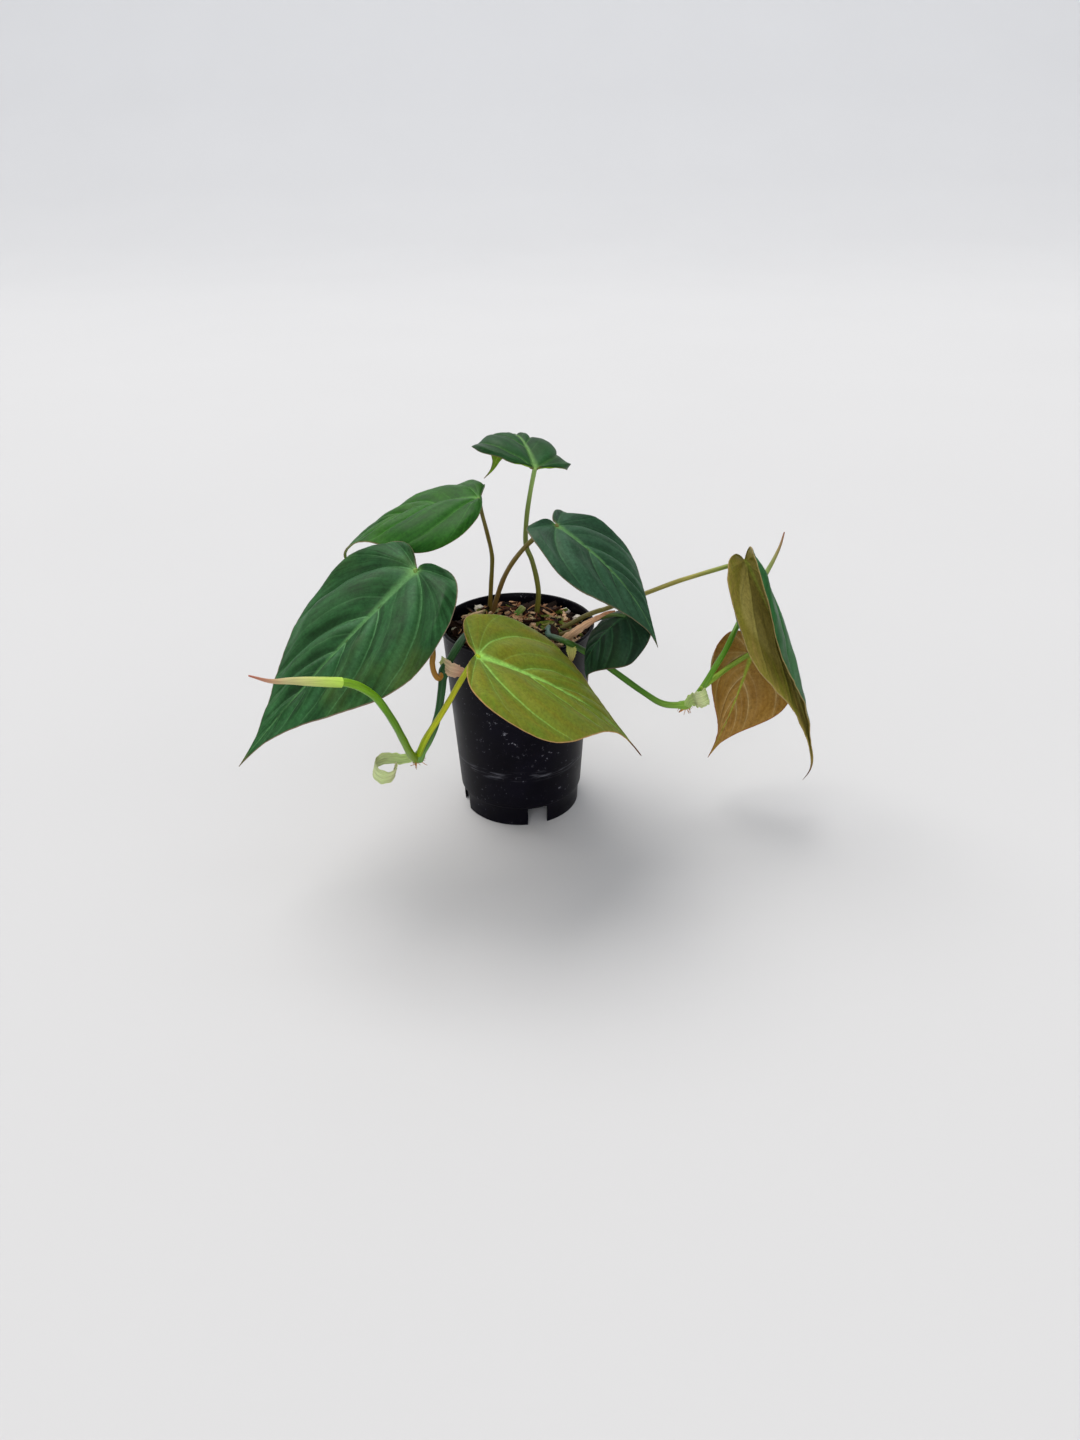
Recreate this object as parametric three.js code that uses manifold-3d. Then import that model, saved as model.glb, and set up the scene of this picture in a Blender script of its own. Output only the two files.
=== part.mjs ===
import * as THREE from 'three';
import { mergeVertices } from 'three/addons/utils/BufferGeometryUtils.js';
import Module from 'manifold-3d';

// A young velvet leaf philodendron trailing from a small nursery pot. Millimetres, +Z up.
// Everything is laid out round the pot's axis; the last lines stand the whole plant with the
// middle of its bounding box over the origin.

const wasm = await Module();
wasm.setup();

// Driving dimensions of the pot
const POT_HEIGHT = 93.4;
const RIM_RADIUS = 35;
const FOOT_RADIUS = 27.85;
const WALL = 1.0;
const STEP_HEIGHT = 10.8;
const STEP_RADIUS = 29.2;
const FLOOR_HEIGHT = 10;
const RIM_BEAD = 1.4;
const NOTCH = { width: 9.6, height: 9.4, count: 4, firstAngle: -73 };
const DRAIN = { radius: 3.5, ringRadius: 16, count: 5 };
const POT_SIDES = 48;

// Driving dimensions of the potting mix
const MIX_LEVEL = 88;
const MIX_SIDES = 24;
const MIX_ROUGHNESS = 0.8;
const CHIP_COUNT = 26;
const MIX_SLOPE = 0.04;
const CHIP_SIZE = { long: [4, 11], wide: [1.8, 3.8], thick: [1, 1.9] };

// Clearance between pieces that touch, and the thickness of the dried and fresh sheaths
const GAP = 0.3;
const SHEATH = 0.65;

// Driving dimensions of the blades
const BLADE = 0.7;
const MIDRIB = 0.9;
const QUILTING = 0.45;
const OUTLINE_STEPS = [3, 4, 9, 4];
const COLUMNS = [0, 0.07, 0.35, 0.68, 1];
const LOBE_SHARE = 0.43;
const MIDRIB_STEPS = 160;
const JOIN_RADIUS = 2.1;

// Each blade: where its stalk meets it, which way it points, its size, and how it bends.
// Lengths in millimetres, angles in degrees; pairs are the left and the right half.
const LEAVES = {
  top: {
    at: [8.9, 18, 158.3], heading: 105, pitch: 29, roll: 11,
    length: 69, halfWidth: 24, lobe: 0.5, widest: 0.28, tail: 0.16,
    droop: 146, droopPower: 1.7, side: 2, twist: -24, hook: { from: 0.8, side: 29, droop: -42 },
    fold: [27, 27], foldChange: [-34, -70], curl: [-44, -81],
  },
  back_left: {
    at: [-15.9, 12, 147], heading: 180, pitch: 0, roll: -10,
    length: 77, halfWidth: 35, lobe: 2.2, widest: 0.27, tail: 0.13,
    droop: 47, droopPower: 0.9, side: -3, twist: 5, hook: { from: 0.84, side: 0, droop: 75 },
    fold: [32, 6], foldChange: [-13, -4], curl: [-77, -48],
  },
  large_left: {
    at: [-39.9, -36, 132.8], heading: 213, pitch: -34, roll: 2,
    length: 106, halfWidth: 39.5, lobe: 7, widest: 0.3, tail: 0.13,
    droop: 9, droopPower: 1.4, side: -1, twist: -3,
    fold: [-4, 11], foldChange: [-9, 1], curl: [-13, -14],
  },
  front: {
    at: [-14.2, -67, 108.6], heading: 12, pitch: -27, roll: 19,
    length: 92.5, halfWidth: 35, lobe: 6, widest: 0.26, tail: 0.16,
    droop: 32, droopPower: 1.5, side: -4, twist: 1,
    fold: [0, 13], foldChange: [1, -3], curl: [-11, -20],
  },
  right_centre: {
    at: [17.8, -19, 144.8], heading: -31, pitch: -25, roll: 8,
    length: 68, halfWidth: 25, lobe: 7, widest: 0.285, tail: 0.13,
    droop: 48, droopPower: 1.4, side: 0, twist: 7,
    fold: [-11, 7], foldChange: [2, -8], curl: [-7, 5],
  },
  small_dark: {
    at: [46.2, -29.5, 108.3], heading: 210, pitch: -22, roll: -14,
    length: 38, halfWidth: 18.5, lobe: 5.5, widest: 0.31, tail: 0.13,
    droop: 102, droopPower: 1.35, side: -3, twist: -3,
    fold: [-4, -27], foldChange: [1, 0], curl: [-18, -30],
  },
  far_right: {
    at: [101.3, -2, 121.6], heading: -2, pitch: -62, roll: -81,
    length: 114, halfWidth: 34, lobe: 10, widest: 0.24, tail: 0.16,
    droop: 31, droopPower: 1.4, side: 12, twist: 5, hook: { from: 0.82, side: 40, droop: -40 },
    fold: [-84, -50], foldChange: [-8, -15], curl: [21, -58], keel: 0, join: 1.55,
  },
  bronze: {
    at: [110.3, 9, 71.8], heading: 221, pitch: -69, roll: 120,
    length: 56, halfWidth: 24.5, lobe: 9, widest: 0.25, tail: 0.16,
    droop: -9, droopPower: 1.4, side: 7, twist: -27,
    fold: [-4, -28], foldChange: [-28, -6], curl: [-22, -33],
  },
};

// Stems: the points each one passes through and its radius at even steps along it.
// A stalk runs on to the place where its blade starts.
const STALKS = {
  top: {
    through: [[8.8, 17, 80], [8.9, 17, 89], [9.8, 17, 99], [9.1, 17, 107], [7, 17, 116.4],
      [4.4, 17, 124.2], [4.9, 17.3, 135.9], [6.8, 17.7, 148.2]],
    radii: [1.3, 1.2, 1.1, 1.0],
  },
  back_left: {
    through: [[-13.8, 24.5, 80], [-13.4, 24, 90], [-12.4, 21.5, 102.8], [-11.3, 18.5, 115.2],
      [-11.4, 17, 120.6], [-12.3, 15.5, 126.9], [-13.5, 14, 133.5], [-14.9, 13, 140.4]],
    radii: [1.15, 1.05, 0.95, 0.9],
  },
  large_left: {
    through: [[-30.5, -41.6, 89.4], [-32.4, -45.4, 88], [-34, -46.8, 91.2], [-34.6, -46.4, 95.4],
      [-34.2, -45, 100], [-35, -42, 110.9], [-37.3, -39, 122.9]],
    radii: [1.2, 1.2, 1.15, 1.1],
  },
  front: {
    through: [[-42, -56, 57.3], [-37.9, -59, 67.1], [-31.2, -62.5, 79.2], [-27.1, -64.5, 86.8],
      [-22.6, -66.5, 95.5], [-18.2, -67.5, 103.3]],
    radii: [1.45, 1.3, 1.2, 1.15],
  },
  right_centre: {
    through: [[-10.6, 20, 80], [-11.4, 18.5, 90.6], [-7.7, 10.5, 105.9], [-3.7, 3.5, 117], [1.6, -3, 126.9],
      [7.6, -9.5, 135.4], [12.9, -14.5, 140.9]],
    radii: [1.25, 1.15, 1.05, 1.0],
  },
  small_dark: {
    through: [[16.4, -2.8, 82], [17.9, -5, 87.8], [25.8, -11.5, 94.1], [34.2, -19, 102], [41, -26, 107.4]],
    radii: [1.1, 1.05, 1.0, 0.95],
  },
  far_right: {
    through: [[14, 3.5, 83], [18.6, 1, 88.2], [23.4, 0.5, 91.2], [27.4, 0.5, 93.4], [31.2, 0.5, 95.6],
      [36.1, 1, 97.4], [41.8, 2, 98.6], [58.4, 2.5, 105], [71.1, 2, 111.3], [79.8, 1.5, 113.7],
      [94.7, -0.5, 119.2]],
    radii: [1.15, 1.1, 1.05, 1.0],
  },
  bronze: {
    through: [[83, -16.8, 66.4], [91.6, -8.6, 68.8], [99.8, 0, 69.9]],
    radii: [1.3, 1.2, 1.1],
  },
};

const VINE_LEFT = {
  through: [[-14.5, -4, 78], [-16.4, -9, 88], [-19, -15, 94.2], [-22.1, -22.3, 96.8], [-24.9, -33.6, 96.9],
    [-27.8, -38.5, 93.4], [-30.5, -41.6, 89.2], [-31.7, -46, 81.5], [-33.7, -50, 71.8],
    [-37.6, -53, 62.4], [-42.8, -55, 54.6]],
  radii: [1.7, 1.65, 1.65, 1.7, 1.65, 1.7],
  swellings: [[-30.4, -41.4, 89.6, 2.3], [-42.6, -54.9, 54.9, 2.6]],
  nubs: [[-42, -54, 53], [-44.6, -56.6, 53.4], [-43.6, -53.6, 52.4]],
};
const VINE_RIGHT = {
  through: [[18.6, 10, 80], [18, 6.5, 86], [15.2, 2, 89.6], [13.6, -3.5, 90.4], [14.4, -10, 90.6],
    [16.6, -17, 93], [21.6, -29.4, 96.5], [29.6, -24.8, 89.7], [42.7, -23, 79], [56.2, -21.5, 67.6],
    [66, -20, 60.6], [77, -17.5, 58.4]],
  radii: [1.4, 1.35, 1.35, 1.35, 1.4, 1.5],
  swellings: [[76, -17.6, 58.5, 2.2]],
  nubs: [[73.4, -18.6, 55.4], [75.6, -16.4, 55.6]],
};
const SHOOT_LEFT = {
  through: [[-43.4, -55, 54], [-44.8, -61, 61], [-45.7, -70, 72.6], [-47.4, -81, 87.7], [-51, -89.5, 101.9],
    [-55.2, -94.5, 109.3], [-59.5, -98, 113.3], [-62.5, -100, 114.8]],
  radii: [1.9, 1.8, 1.75, 1.75, 1.8],
};
const SPIKE_LEFT = {
  through: [[-62.9, -100.3, 114.9], [-69.4, -104, 117.1], [-77.5, -107.5, 119.3], [-83.9, -110, 120.6],
    [-90.5, -112, 123.8]],
  radii: [2.1, 2.2, 1.9, 1.4, 0.9, 0.4],
};
const SHOOT_RIGHT = {
  through: [[78.6, -17.4, 59.4], [84, -16, 66.9], [88.9, -12, 73.6], [94.4, -7.5, 81], [99.4, -2, 89],
    [107.9, 12, 96.5]],
  radii: [1.5, 1.35, 1.25, 1.3],
};
const SPIKE_RIGHT = {
  through: [[108.2, 12.4, 96.9], [117, 26, 104.2], [121.6, 31, 110.1], [124.9, 35, 115.5],
    [127, 38.5, 120.7]],
  radii: [1.35, 1.4, 1.15, 0.8, 0.4],
};
const STUB = { through: [[-3.6, 13.4, 84], [-2.1, 14, 88.4], [2.3, 15.5, 93.5]], radii: [1.7, 1.6] };

// Dried and fresh sheaths: a path, half widths along it, how far the edges rise, and the
// direction the strip's width points in
const SHEATHS = {
  sheath_right_long: {
    path: [[18.4, -8.6, 84.6], [19.8, -10.6, 88], [23.9, -14.5, 92.9], [29, -19, 98.9], [33.7, -23.5, 104.1],
      [38.3, -28, 108.9], [41.8, -30.6, 111]],
    halfWidths: [1.6, 1.85, 1.7, 1.4, 0.9, 0.5], rises: [0.9, 0.8, 0.6, 0.3], across: [0.5, -0.2, -0.8],
  },
  sheath_left_upper: {
    path: [[-31.5, -38.6, 93.6], [-28.6, -43.2, 92.2], [-25.4, -43.4, 90.4], [-21.8, -41.6, 88.8]],
    halfWidths: [1.2, 2.3, 2.4, 0.9], rises: [0.5, 0.4, 0.2], across: [0.3, 0.1, 1],
  },
  sheath_left_curl: {
    path: [[-44.6, -55.2, 55.6], [-49, -53.4, 53.4], [-53.5, -52.6, 53.2], [-57.1, -53.3, 53.6],
      [-60, -55.5, 53.5], [-60.9, -58.7, 52.5], [-59.4, -61.4, 51.1], [-56.4, -62.3, 49.9],
      [-53.6, -61, 49.6], [-52.1, -58.4, 50.2]],
    halfWidths: [1.6, 2.8, 3.4, 3.4, 3.2, 2.4], rises: [0.4, 0.2, 0], across: [0.25, -0.35, 0.9],
  },
  sheath_right_lobe: {
    path: [[22.8, -28.9, 95.2], [23.5, -30.1, 93], [23.6, -31.1, 90.6], [23.5, -31.7, 88.4]],
    halfWidths: [1.6, 2.3, 1.6, 0.5], rises: [0.7, 0.5, 0.2], across: [1, 0.1, -0.1],
  },
  sheath_right_collar: {
    path: [[76.8, -20, 58.8], [77.6, -20, 61.4], [79.2, -21.6, 63.4], [80, -24.2, 64.6], [82.2, -25.6, 65.8],
      [84.4, -24.3, 66.4], [85, -21.9, 66], [83.6, -20, 65]],
    halfWidths: [1.4, 2.6, 3.6, 3.8, 3.6, 2.6], rises: [0.3, 0.2, 0], across: [-0.3, 0.25, 0.92],
  },
};

// Loose lumps on the mix: perlite is white, bark is brown
const PERLITE = [[22.4, 20.2, 2], [-18.4, 23, 2], [-3.4, 19.5, 1.7], [28, 10.6, 2], [-28.6, 2.5, 1.8]];
const BARK = [
  { at: [15, 24], size: [6.5, 3.4, 2.2], turn: 20 },
  { at: [-5.4, 27], size: [9, 3.6, 1.7], turn: -14 },
  { at: [18.6, 13.4], size: [11.5, 2.2, 1.7], turn: -4 },
];

const toRadians = THREE.MathUtils.degToRad;
const point = ([x, y, z]) => new THREE.Vector3(x, y, z);

// A seeded draw between two values, the same on every run
let seed = 20417;
function between(low, high) {
  seed = (seed * 1664525 + 1013904223) % 4294967296;
  return low + (high - low) * (seed / 4294967296);
}

// Closed geometry from a list of triangles given as corner points
function closed(triangles) {
  const places = [];
  for (const corners of triangles) {
    const [a, b, c] = corners;
    const flat = a.distanceTo(b) < 1e-4 || b.distanceTo(c) < 1e-4 || c.distanceTo(a) < 1e-4;
    if (!flat) corners.forEach((corner) => places.push(corner.x, corner.y, corner.z));
  }
  const geometry = new THREE.BufferGeometry();
  geometry.setAttribute('position', new THREE.Float32BufferAttribute(places, 3));
  return facingOut(mergeVertices(geometry, 1e-4));
}

// The same geometry with its faces pointing away from the material
function facingOut(geometry) {
  const places = geometry.attributes.position;
  const order = geometry.index;
  const [a, b, c] = [new THREE.Vector3(), new THREE.Vector3(), new THREE.Vector3()];
  let volume = 0;
  for (let i = 0; i < order.count; i += 3) {
    a.fromBufferAttribute(places, order.getX(i));
    b.fromBufferAttribute(places, order.getX(i + 1));
    c.fromBufferAttribute(places, order.getX(i + 2));
    volume += a.dot(b.cross(c));
  }
  if (volume < 0) {
    const turned = Array.from(order.array).reverse();
    geometry.setIndex(turned);
  }
  return geometry;
}

function asSolid(geometry) {
  const bare = geometry.clone();
  bare.deleteAttribute('normal');
  bare.deleteAttribute('uv');
  const merged = mergeVertices(bare, 1e-4);
  const kept = [];
  const order = merged.index.array;
  for (let i = 0; i < order.length; i += 3) {
    const [a, b, c] = [order[i], order[i + 1], order[i + 2]];
    if (a !== b && b !== c && c !== a) kept.push(a, b, c);
  }
  return new wasm.Manifold(new wasm.Mesh({
    numProp: 3,
    vertProperties: Float32Array.from(merged.attributes.position.array),
    triVerts: Uint32Array.from(kept),
  }));
}

function asGeometry(solid) {
  const mesh = solid.getMesh();
  const geometry = new THREE.BufferGeometry();
  geometry.setAttribute('position', new THREE.BufferAttribute(new Float32Array(mesh.vertProperties), 3));
  geometry.setIndex(new THREE.BufferAttribute(new Uint32Array(mesh.triVerts), 1));
  return geometry;
}

// The largest body left after a cut
function largest(solid) {
  const bodies = solid.decompose();
  return bodies.reduce((best, body) => (body.volume() > best.volume() ? body : best));
}

const cut = (solid, tools) => largest(tools.reduce((rest, tool) => rest.subtract(tool), solid));

function along(values, u) {
  if (values.length === 1) return values[0];
  const place = u * (values.length - 1);
  const i = Math.min(Math.floor(place), values.length - 2);
  return THREE.MathUtils.lerp(values[i], values[i + 1], place - i);
}

// A closed body with one cross-section after another along a smooth curve.
// section(u) gives the outline there as pairs: across the curve, and out of that plane.
function loft(through, section, steps, acrossHint) {
  const curve = new THREE.CatmullRomCurve3(through.map(point), false, 'catmullrom', 0.5);
  const frames = curve.computeFrenetFrames(steps);
  const rings = [];
  for (let i = 0; i <= steps; i += 1) {
    const u = i / steps;
    const middle = curve.getPointAt(u);
    let across = frames.normals[i];
    let up = frames.binormals[i];
    if (acrossHint) {
      across = point(acrossHint).projectOnPlane(frames.tangents[i]).normalize();
      up = frames.tangents[i].clone().cross(across);
    }
    rings.push(section(u).map(([a, b]) => middle.clone().addScaledVector(across, a).addScaledVector(up, b)));
  }
  const count = rings[0].length;
  const triangles = [];
  for (let i = 0; i < steps; i += 1) {
    for (let k = 0; k < count; k += 1) {
      const next = (k + 1) % count;
      triangles.push([rings[i][k], rings[i + 1][k], rings[i + 1][next]]);
      triangles.push([rings[i][k], rings[i + 1][next], rings[i][next]]);
    }
  }
  for (let k = 1; k < count - 1; k += 1) {
    triangles.push([rings[0][0], rings[0][k], rings[0][k + 1]]);
    triangles.push([rings[steps][0], rings[steps][k + 1], rings[steps][k]]);
  }
  return closed(triangles);
}

function roundSection(radii, sides, extra = 0) {
  return (u) => {
    const radius = along(radii, u) + extra;
    return Array.from({ length: sides }, (_, k) => {
      const angle = (2 * Math.PI * k) / sides;
      return [radius * Math.cos(angle), radius * Math.sin(angle)];
    });
  };
}

// A path made longer by extra at both ends
function lengthened(path, extra) {
  const places = path.map(point);
  const beyond = (end, before) => end.clone().add(end.clone().sub(before).setLength(extra));
  const last = places.length - 1;
  const ends = [beyond(places[0], places[1]), beyond(places[last], places[last - 1])];
  return [ends[0], ...places.slice(1, last), ends[1]].map((place) => place.toArray());
}

function stem({ through, radii }, sides, steps, extra = 0) {
  const path = extra > 0 ? lengthened(through, extra) : through;
  return asSolid(loft(path, roundSection(radii, sides, extra), steps));
}

// A thin curved strip: half its width at even steps, how far its edges rise, and its thickness
function strip(through, halfWidths, rises, thickness, steps, acrossHint, extra = 0) {
  const cells = 3;
  const section = (u) => {
    const half = along(halfWidths, u) + extra;
    const rise = along(rises, u);
    const edge = (k) => -1 + (2 * k) / cells;
    const upper = [];
    const lower = [];
    for (let k = 0; k <= cells; k += 1) {
      const height = rise * edge(k) ** 2;
      upper.push([half * edge(k), height + thickness / 2 + extra]);
      lower.unshift([half * edge(k), height - thickness / 2 - extra]);
    }
    return [...upper, ...lower];
  };
  return asSolid(loft(through, section, steps, acrossHint));
}

// Half outline of a heart leaf in flat coordinates, from the notch at the stalk to the tip:
// x runs along the midrib and y away from it
function halfOutline({ length, halfWidth, lobe, widest, tail, notchAt = -0.3 }) {
  const tailLength = tail * length;
  const notch = new THREE.Vector2(notchAt, 0);
  const rear = new THREE.Vector2(-lobe, LOBE_SHARE * halfWidth);
  const side = new THREE.Vector2(widest * length, halfWidth);
  const neck = new THREE.Vector2(length - tailLength, 0.07 * halfWidth + 0.3);
  const tip = new THREE.Vector2(length, 0);
  const shifted = (from, dx, dy) => new THREE.Vector2(from.x + dx, from.y + dy);
  const pieces = [
    new THREE.CubicBezierCurve(notch, shifted(notch, -0.35 * lobe, 0.1 * halfWidth),
      shifted(rear, 0, -0.24 * halfWidth), rear),
    new THREE.CubicBezierCurve(rear, shifted(rear, 0, 0.36 * halfWidth),
      shifted(side, -0.52 * (side.x - rear.x), 0), side),
    new THREE.CubicBezierCurve(side, shifted(side, 0.36 * (neck.x - side.x), 0),
      shifted(neck, -0.42 * (neck.x - side.x), 0.3 * halfWidth), neck),
    new THREE.CubicBezierCurve(neck, shifted(neck, 0.3 * tailLength, -0.035 * halfWidth),
      shifted(tip, -0.3 * tailLength, 0.012 * halfWidth), tip),
  ];
  return pieces.flatMap((piece, i) => piece.getPoints(OUTLINE_STEPS[i]).slice(i === 0 ? 0 : 1));
}

// Rows of flat points, each from the midrib out to the margin as a side vein runs.
// The first rows fan out from the stalk into the lobe.
function veinRows(leaf) {
  const margin = halfOutline(leaf);
  const fan = OUTLINE_STEPS[0] + OUTLINE_STEPS[1] / 2;
  const fanEnd = margin[fan].x;
  return margin.map((edge, j) => {
    const reach = THREE.MathUtils.clamp((edge.x - fanEnd) / (leaf.length - fanEnd), 0, 1);
    const start = new THREE.Vector2(j <= fan ? 0 : leaf.length * reach * (0.8 + 0.2 * reach), 0);
    const span = start.distanceTo(edge);
    const bend = j > fan ? 1 : j / fan;
    const middle = start.clone().lerp(edge, 0.5);
    middle.x -= 0.1 * span * bend;
    const vein = new THREE.QuadraticBezierCurve(start, middle, edge);
    return COLUMNS.map((share) => vein.getPoint(share));
  });
}

// The bent midrib: a function from a distance along it to the place and the directions there
function bentMidrib(leaf) {
  const heading = toRadians(leaf.heading);
  const pitch = toRadians(leaf.pitch);
  const roll = toRadians(leaf.roll);
  const ahead = new THREE.Vector3(
    Math.cos(pitch) * Math.cos(heading), Math.cos(pitch) * Math.sin(heading), Math.sin(pitch));
  const level = new THREE.Vector3(-Math.sin(heading), Math.cos(heading), 0);
  const left = level.clone().applyAxisAngle(ahead, roll);
  const up = ahead.clone().cross(left);
  const { hook } = leaf;
  const directions = (x) => {
    const share = THREE.MathUtils.clamp(x / leaf.length, 0, 1);
    const hooked = hook ? THREE.MathUtils.smoothstep(share, hook.from, 1) : 0;
    const droop = toRadians(leaf.droop * share ** leaf.droopPower + hooked * (hook?.droop ?? 0));
    const side = toRadians(leaf.side * share ** 1.3 + hooked * (hook?.side ?? 0));
    const down = ahead.clone().multiplyScalar(Math.cos(droop)).addScaledVector(up, -Math.sin(droop));
    const out = up.clone().multiplyScalar(Math.cos(droop)).addScaledVector(ahead, Math.sin(droop));
    const on = down.clone().multiplyScalar(Math.cos(side)).addScaledVector(left, Math.sin(side));
    const beside = left.clone().multiplyScalar(Math.cos(side)).addScaledVector(down, -Math.sin(side));
    const twist = toRadians(leaf.twist) * share;
    return {
      on,
      beside: beside.clone().multiplyScalar(Math.cos(twist)).addScaledVector(out, Math.sin(twist)),
      out: out.clone().multiplyScalar(Math.cos(twist)).addScaledVector(beside, -Math.sin(twist)),
    };
  };
  const pace = leaf.length / MIDRIB_STEPS;
  const places = [point(leaf.at)];
  for (let i = 0; i < MIDRIB_STEPS; i += 1) {
    places.push(places[i].clone().addScaledVector(directions((i + 0.5) * pace).on, pace));
  }
  return (x) => {
    const frame = directions(x);
    if (x <= 0) return { ...frame, place: point(leaf.at).addScaledVector(frame.on, x) };
    const i = Math.min(Math.floor(x / pace), MIDRIB_STEPS - 1);
    return { ...frame, place: places[i].clone().lerp(places[i + 1], x / pace - i) };
  };
}

// A point of one half of the blade and the direction out of its upper face there
function bladePoint(leaf, midrib, side, flat) {
  const half = side > 0 ? 0 : 1;
  const share = THREE.MathUtils.clamp(flat.x / leaf.length, 0, 1);
  const fold = toRadians(leaf.fold[half] + leaf.foldChange[half] * share);
  let bend = toRadians(leaf.curl[half]) / leaf.halfWidth;
  if (Math.abs(bend) < 1e-5) bend = 1e-5;
  const angle = fold + bend * flat.y;
  const out = (Math.sin(angle) - Math.sin(fold)) / bend;
  const rise = (Math.cos(fold) - Math.cos(angle)) / bend;
  const { place, beside, out: up } = midrib(flat.x);
  const easing = THREE.MathUtils.smoothstep(flat.y, 0, 1.5);
  const lean = angle * easing;
  return {
    place: place.clone().addScaledVector(beside, side * out).addScaledVector(up, rise),
    normal: up.clone().multiplyScalar(Math.cos(lean)).addScaledVector(beside, -side * Math.sin(lean)),
  };
}

// The blade as one closed body. Side veins lie in every second row, with the blade quilted up
// between them; below, the midrib stands out as a keel.
function blade(leaf, extra = 0) {
  const grown = {
    ...leaf, halfWidth: leaf.halfWidth + extra, lobe: leaf.lobe + extra, notchAt: -0.3 - 2 * extra,
  };
  const rows = veinRows(grown);
  const midrib = bentMidrib(leaf);
  const triangles = [];
  const face = (side) => rows.map((row, j) => row.map((flat, i) => {
    const { place, normal } = bladePoint(grown, midrib, side, flat);
    const ridge = j % 2 === 1 ? 1 : -1;
    const taper = 1 - THREE.MathUtils.clamp(flat.x / leaf.length, 0, 1);
    const quilt = QUILTING * ridge * Math.sin(Math.PI * COLUMNS[i]) * Math.min(1, 2.5 * taper);
    const keel = i === 0 ? (leaf.keel ?? MIDRIB) * taper : 0;
    return {
      top: place.clone().addScaledVector(normal, quilt + BLADE / 2 + extra),
      bottom: place.clone().addScaledVector(normal, quilt - BLADE / 2 - keel - extra),
    };
  }));
  for (const side of [1, -1]) {
    const grid = face(side);
    const last = COLUMNS.length - 1;
    const add = (...corners) => triangles.push(side > 0 ? corners : corners.reverse());
    for (let j = 0; j < rows.length - 1; j += 1) {
      for (let i = 0; i < last; i += 1) {
        const [a, b, c, d] = [grid[j][i], grid[j + 1][i], grid[j + 1][i + 1], grid[j][i + 1]];
        add(a.top, b.top, c.top);
        add(a.top, c.top, d.top);
        add(a.bottom, c.bottom, b.bottom);
        add(a.bottom, d.bottom, c.bottom);
      }
      const [near, next] = [grid[j][last], grid[j + 1][last]];
      add(near.top, next.top, next.bottom);
      add(near.top, next.bottom, near.bottom);
    }
  }
  return asSolid(closed(triangles));
}

// The pot: wall, rim bead, step ring and skirt turned as one, then notched and drained
function pot() {
  const profile = [
    [0, FLOOR_HEIGHT], [FOOT_RADIUS - WALL, FLOOR_HEIGHT], [FOOT_RADIUS - WALL, 0], [FOOT_RADIUS, 0],
    [FOOT_RADIUS + 0.35, STEP_HEIGHT - 0.8], [STEP_RADIUS, STEP_HEIGHT],
    [RIM_RADIUS - 0.7, POT_HEIGHT - RIM_BEAD], [RIM_RADIUS, POT_HEIGHT - 0.75 * RIM_BEAD],
    [RIM_RADIUS, POT_HEIGHT - 0.3], [RIM_RADIUS - 0.3, POT_HEIGHT], [RIM_RADIUS - 1.2, POT_HEIGHT],
    [innerRadius(POT_HEIGHT - RIM_BEAD), POT_HEIGHT - RIM_BEAD],
    [innerRadius(FLOOR_HEIGHT + 1.2), FLOOR_HEIGHT + 1.2], [0, FLOOR_HEIGHT + 1.2],
  ].map(([r, z]) => new THREE.Vector2(r, z));
  const turned = new THREE.LatheGeometry(profile, POT_SIDES).rotateX(Math.PI / 2);
  let solid = asSolid(facingOut(mergeVertices(bareOf(turned), 1e-4)));
  for (let i = 0; i < NOTCH.count; i += 1) {
    const angle = toRadians(NOTCH.firstAngle + (360 / NOTCH.count) * i);
    const block = new THREE.BoxGeometry(6, NOTCH.width, 2 * NOTCH.height);
    block.translate(FOOT_RADIUS, 0, 0).rotateZ(angle);
    solid = solid.subtract(asSolid(block));
  }
  for (let i = 0; i < DRAIN.count; i += 1) {
    const angle = (2 * Math.PI * i) / DRAIN.count;
    const drill = new THREE.CylinderGeometry(DRAIN.radius, DRAIN.radius, 6, 12).rotateX(Math.PI / 2);
    drill.translate(DRAIN.ringRadius * Math.cos(angle), DRAIN.ringRadius * Math.sin(angle), FLOOR_HEIGHT);
    solid = solid.subtract(asSolid(drill));
  }
  return solid;
}

function bareOf(geometry) {
  geometry.deleteAttribute('normal');
  geometry.deleteAttribute('uv');
  return geometry;
}

function innerRadius(z) {
  const rise = (z - STEP_HEIGHT) / (POT_HEIGHT - RIM_BEAD - STEP_HEIGHT);
  return THREE.MathUtils.lerp(STEP_RADIUS, RIM_RADIUS - 0.7, rise) - WALL;
}

// Height of the mix over a place in the pot, a little higher at the back and crumbly all over
function mixHeight(x, y) {
  return MIX_LEVEL + MIX_SLOPE * y + MIX_ROUGHNESS * (Math.sin(0.55 * x + 1.3) * Math.cos(0.47 * y - 0.4)
    + 0.6 * Math.sin(1.1 * x - 0.9 * y));
}

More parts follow.
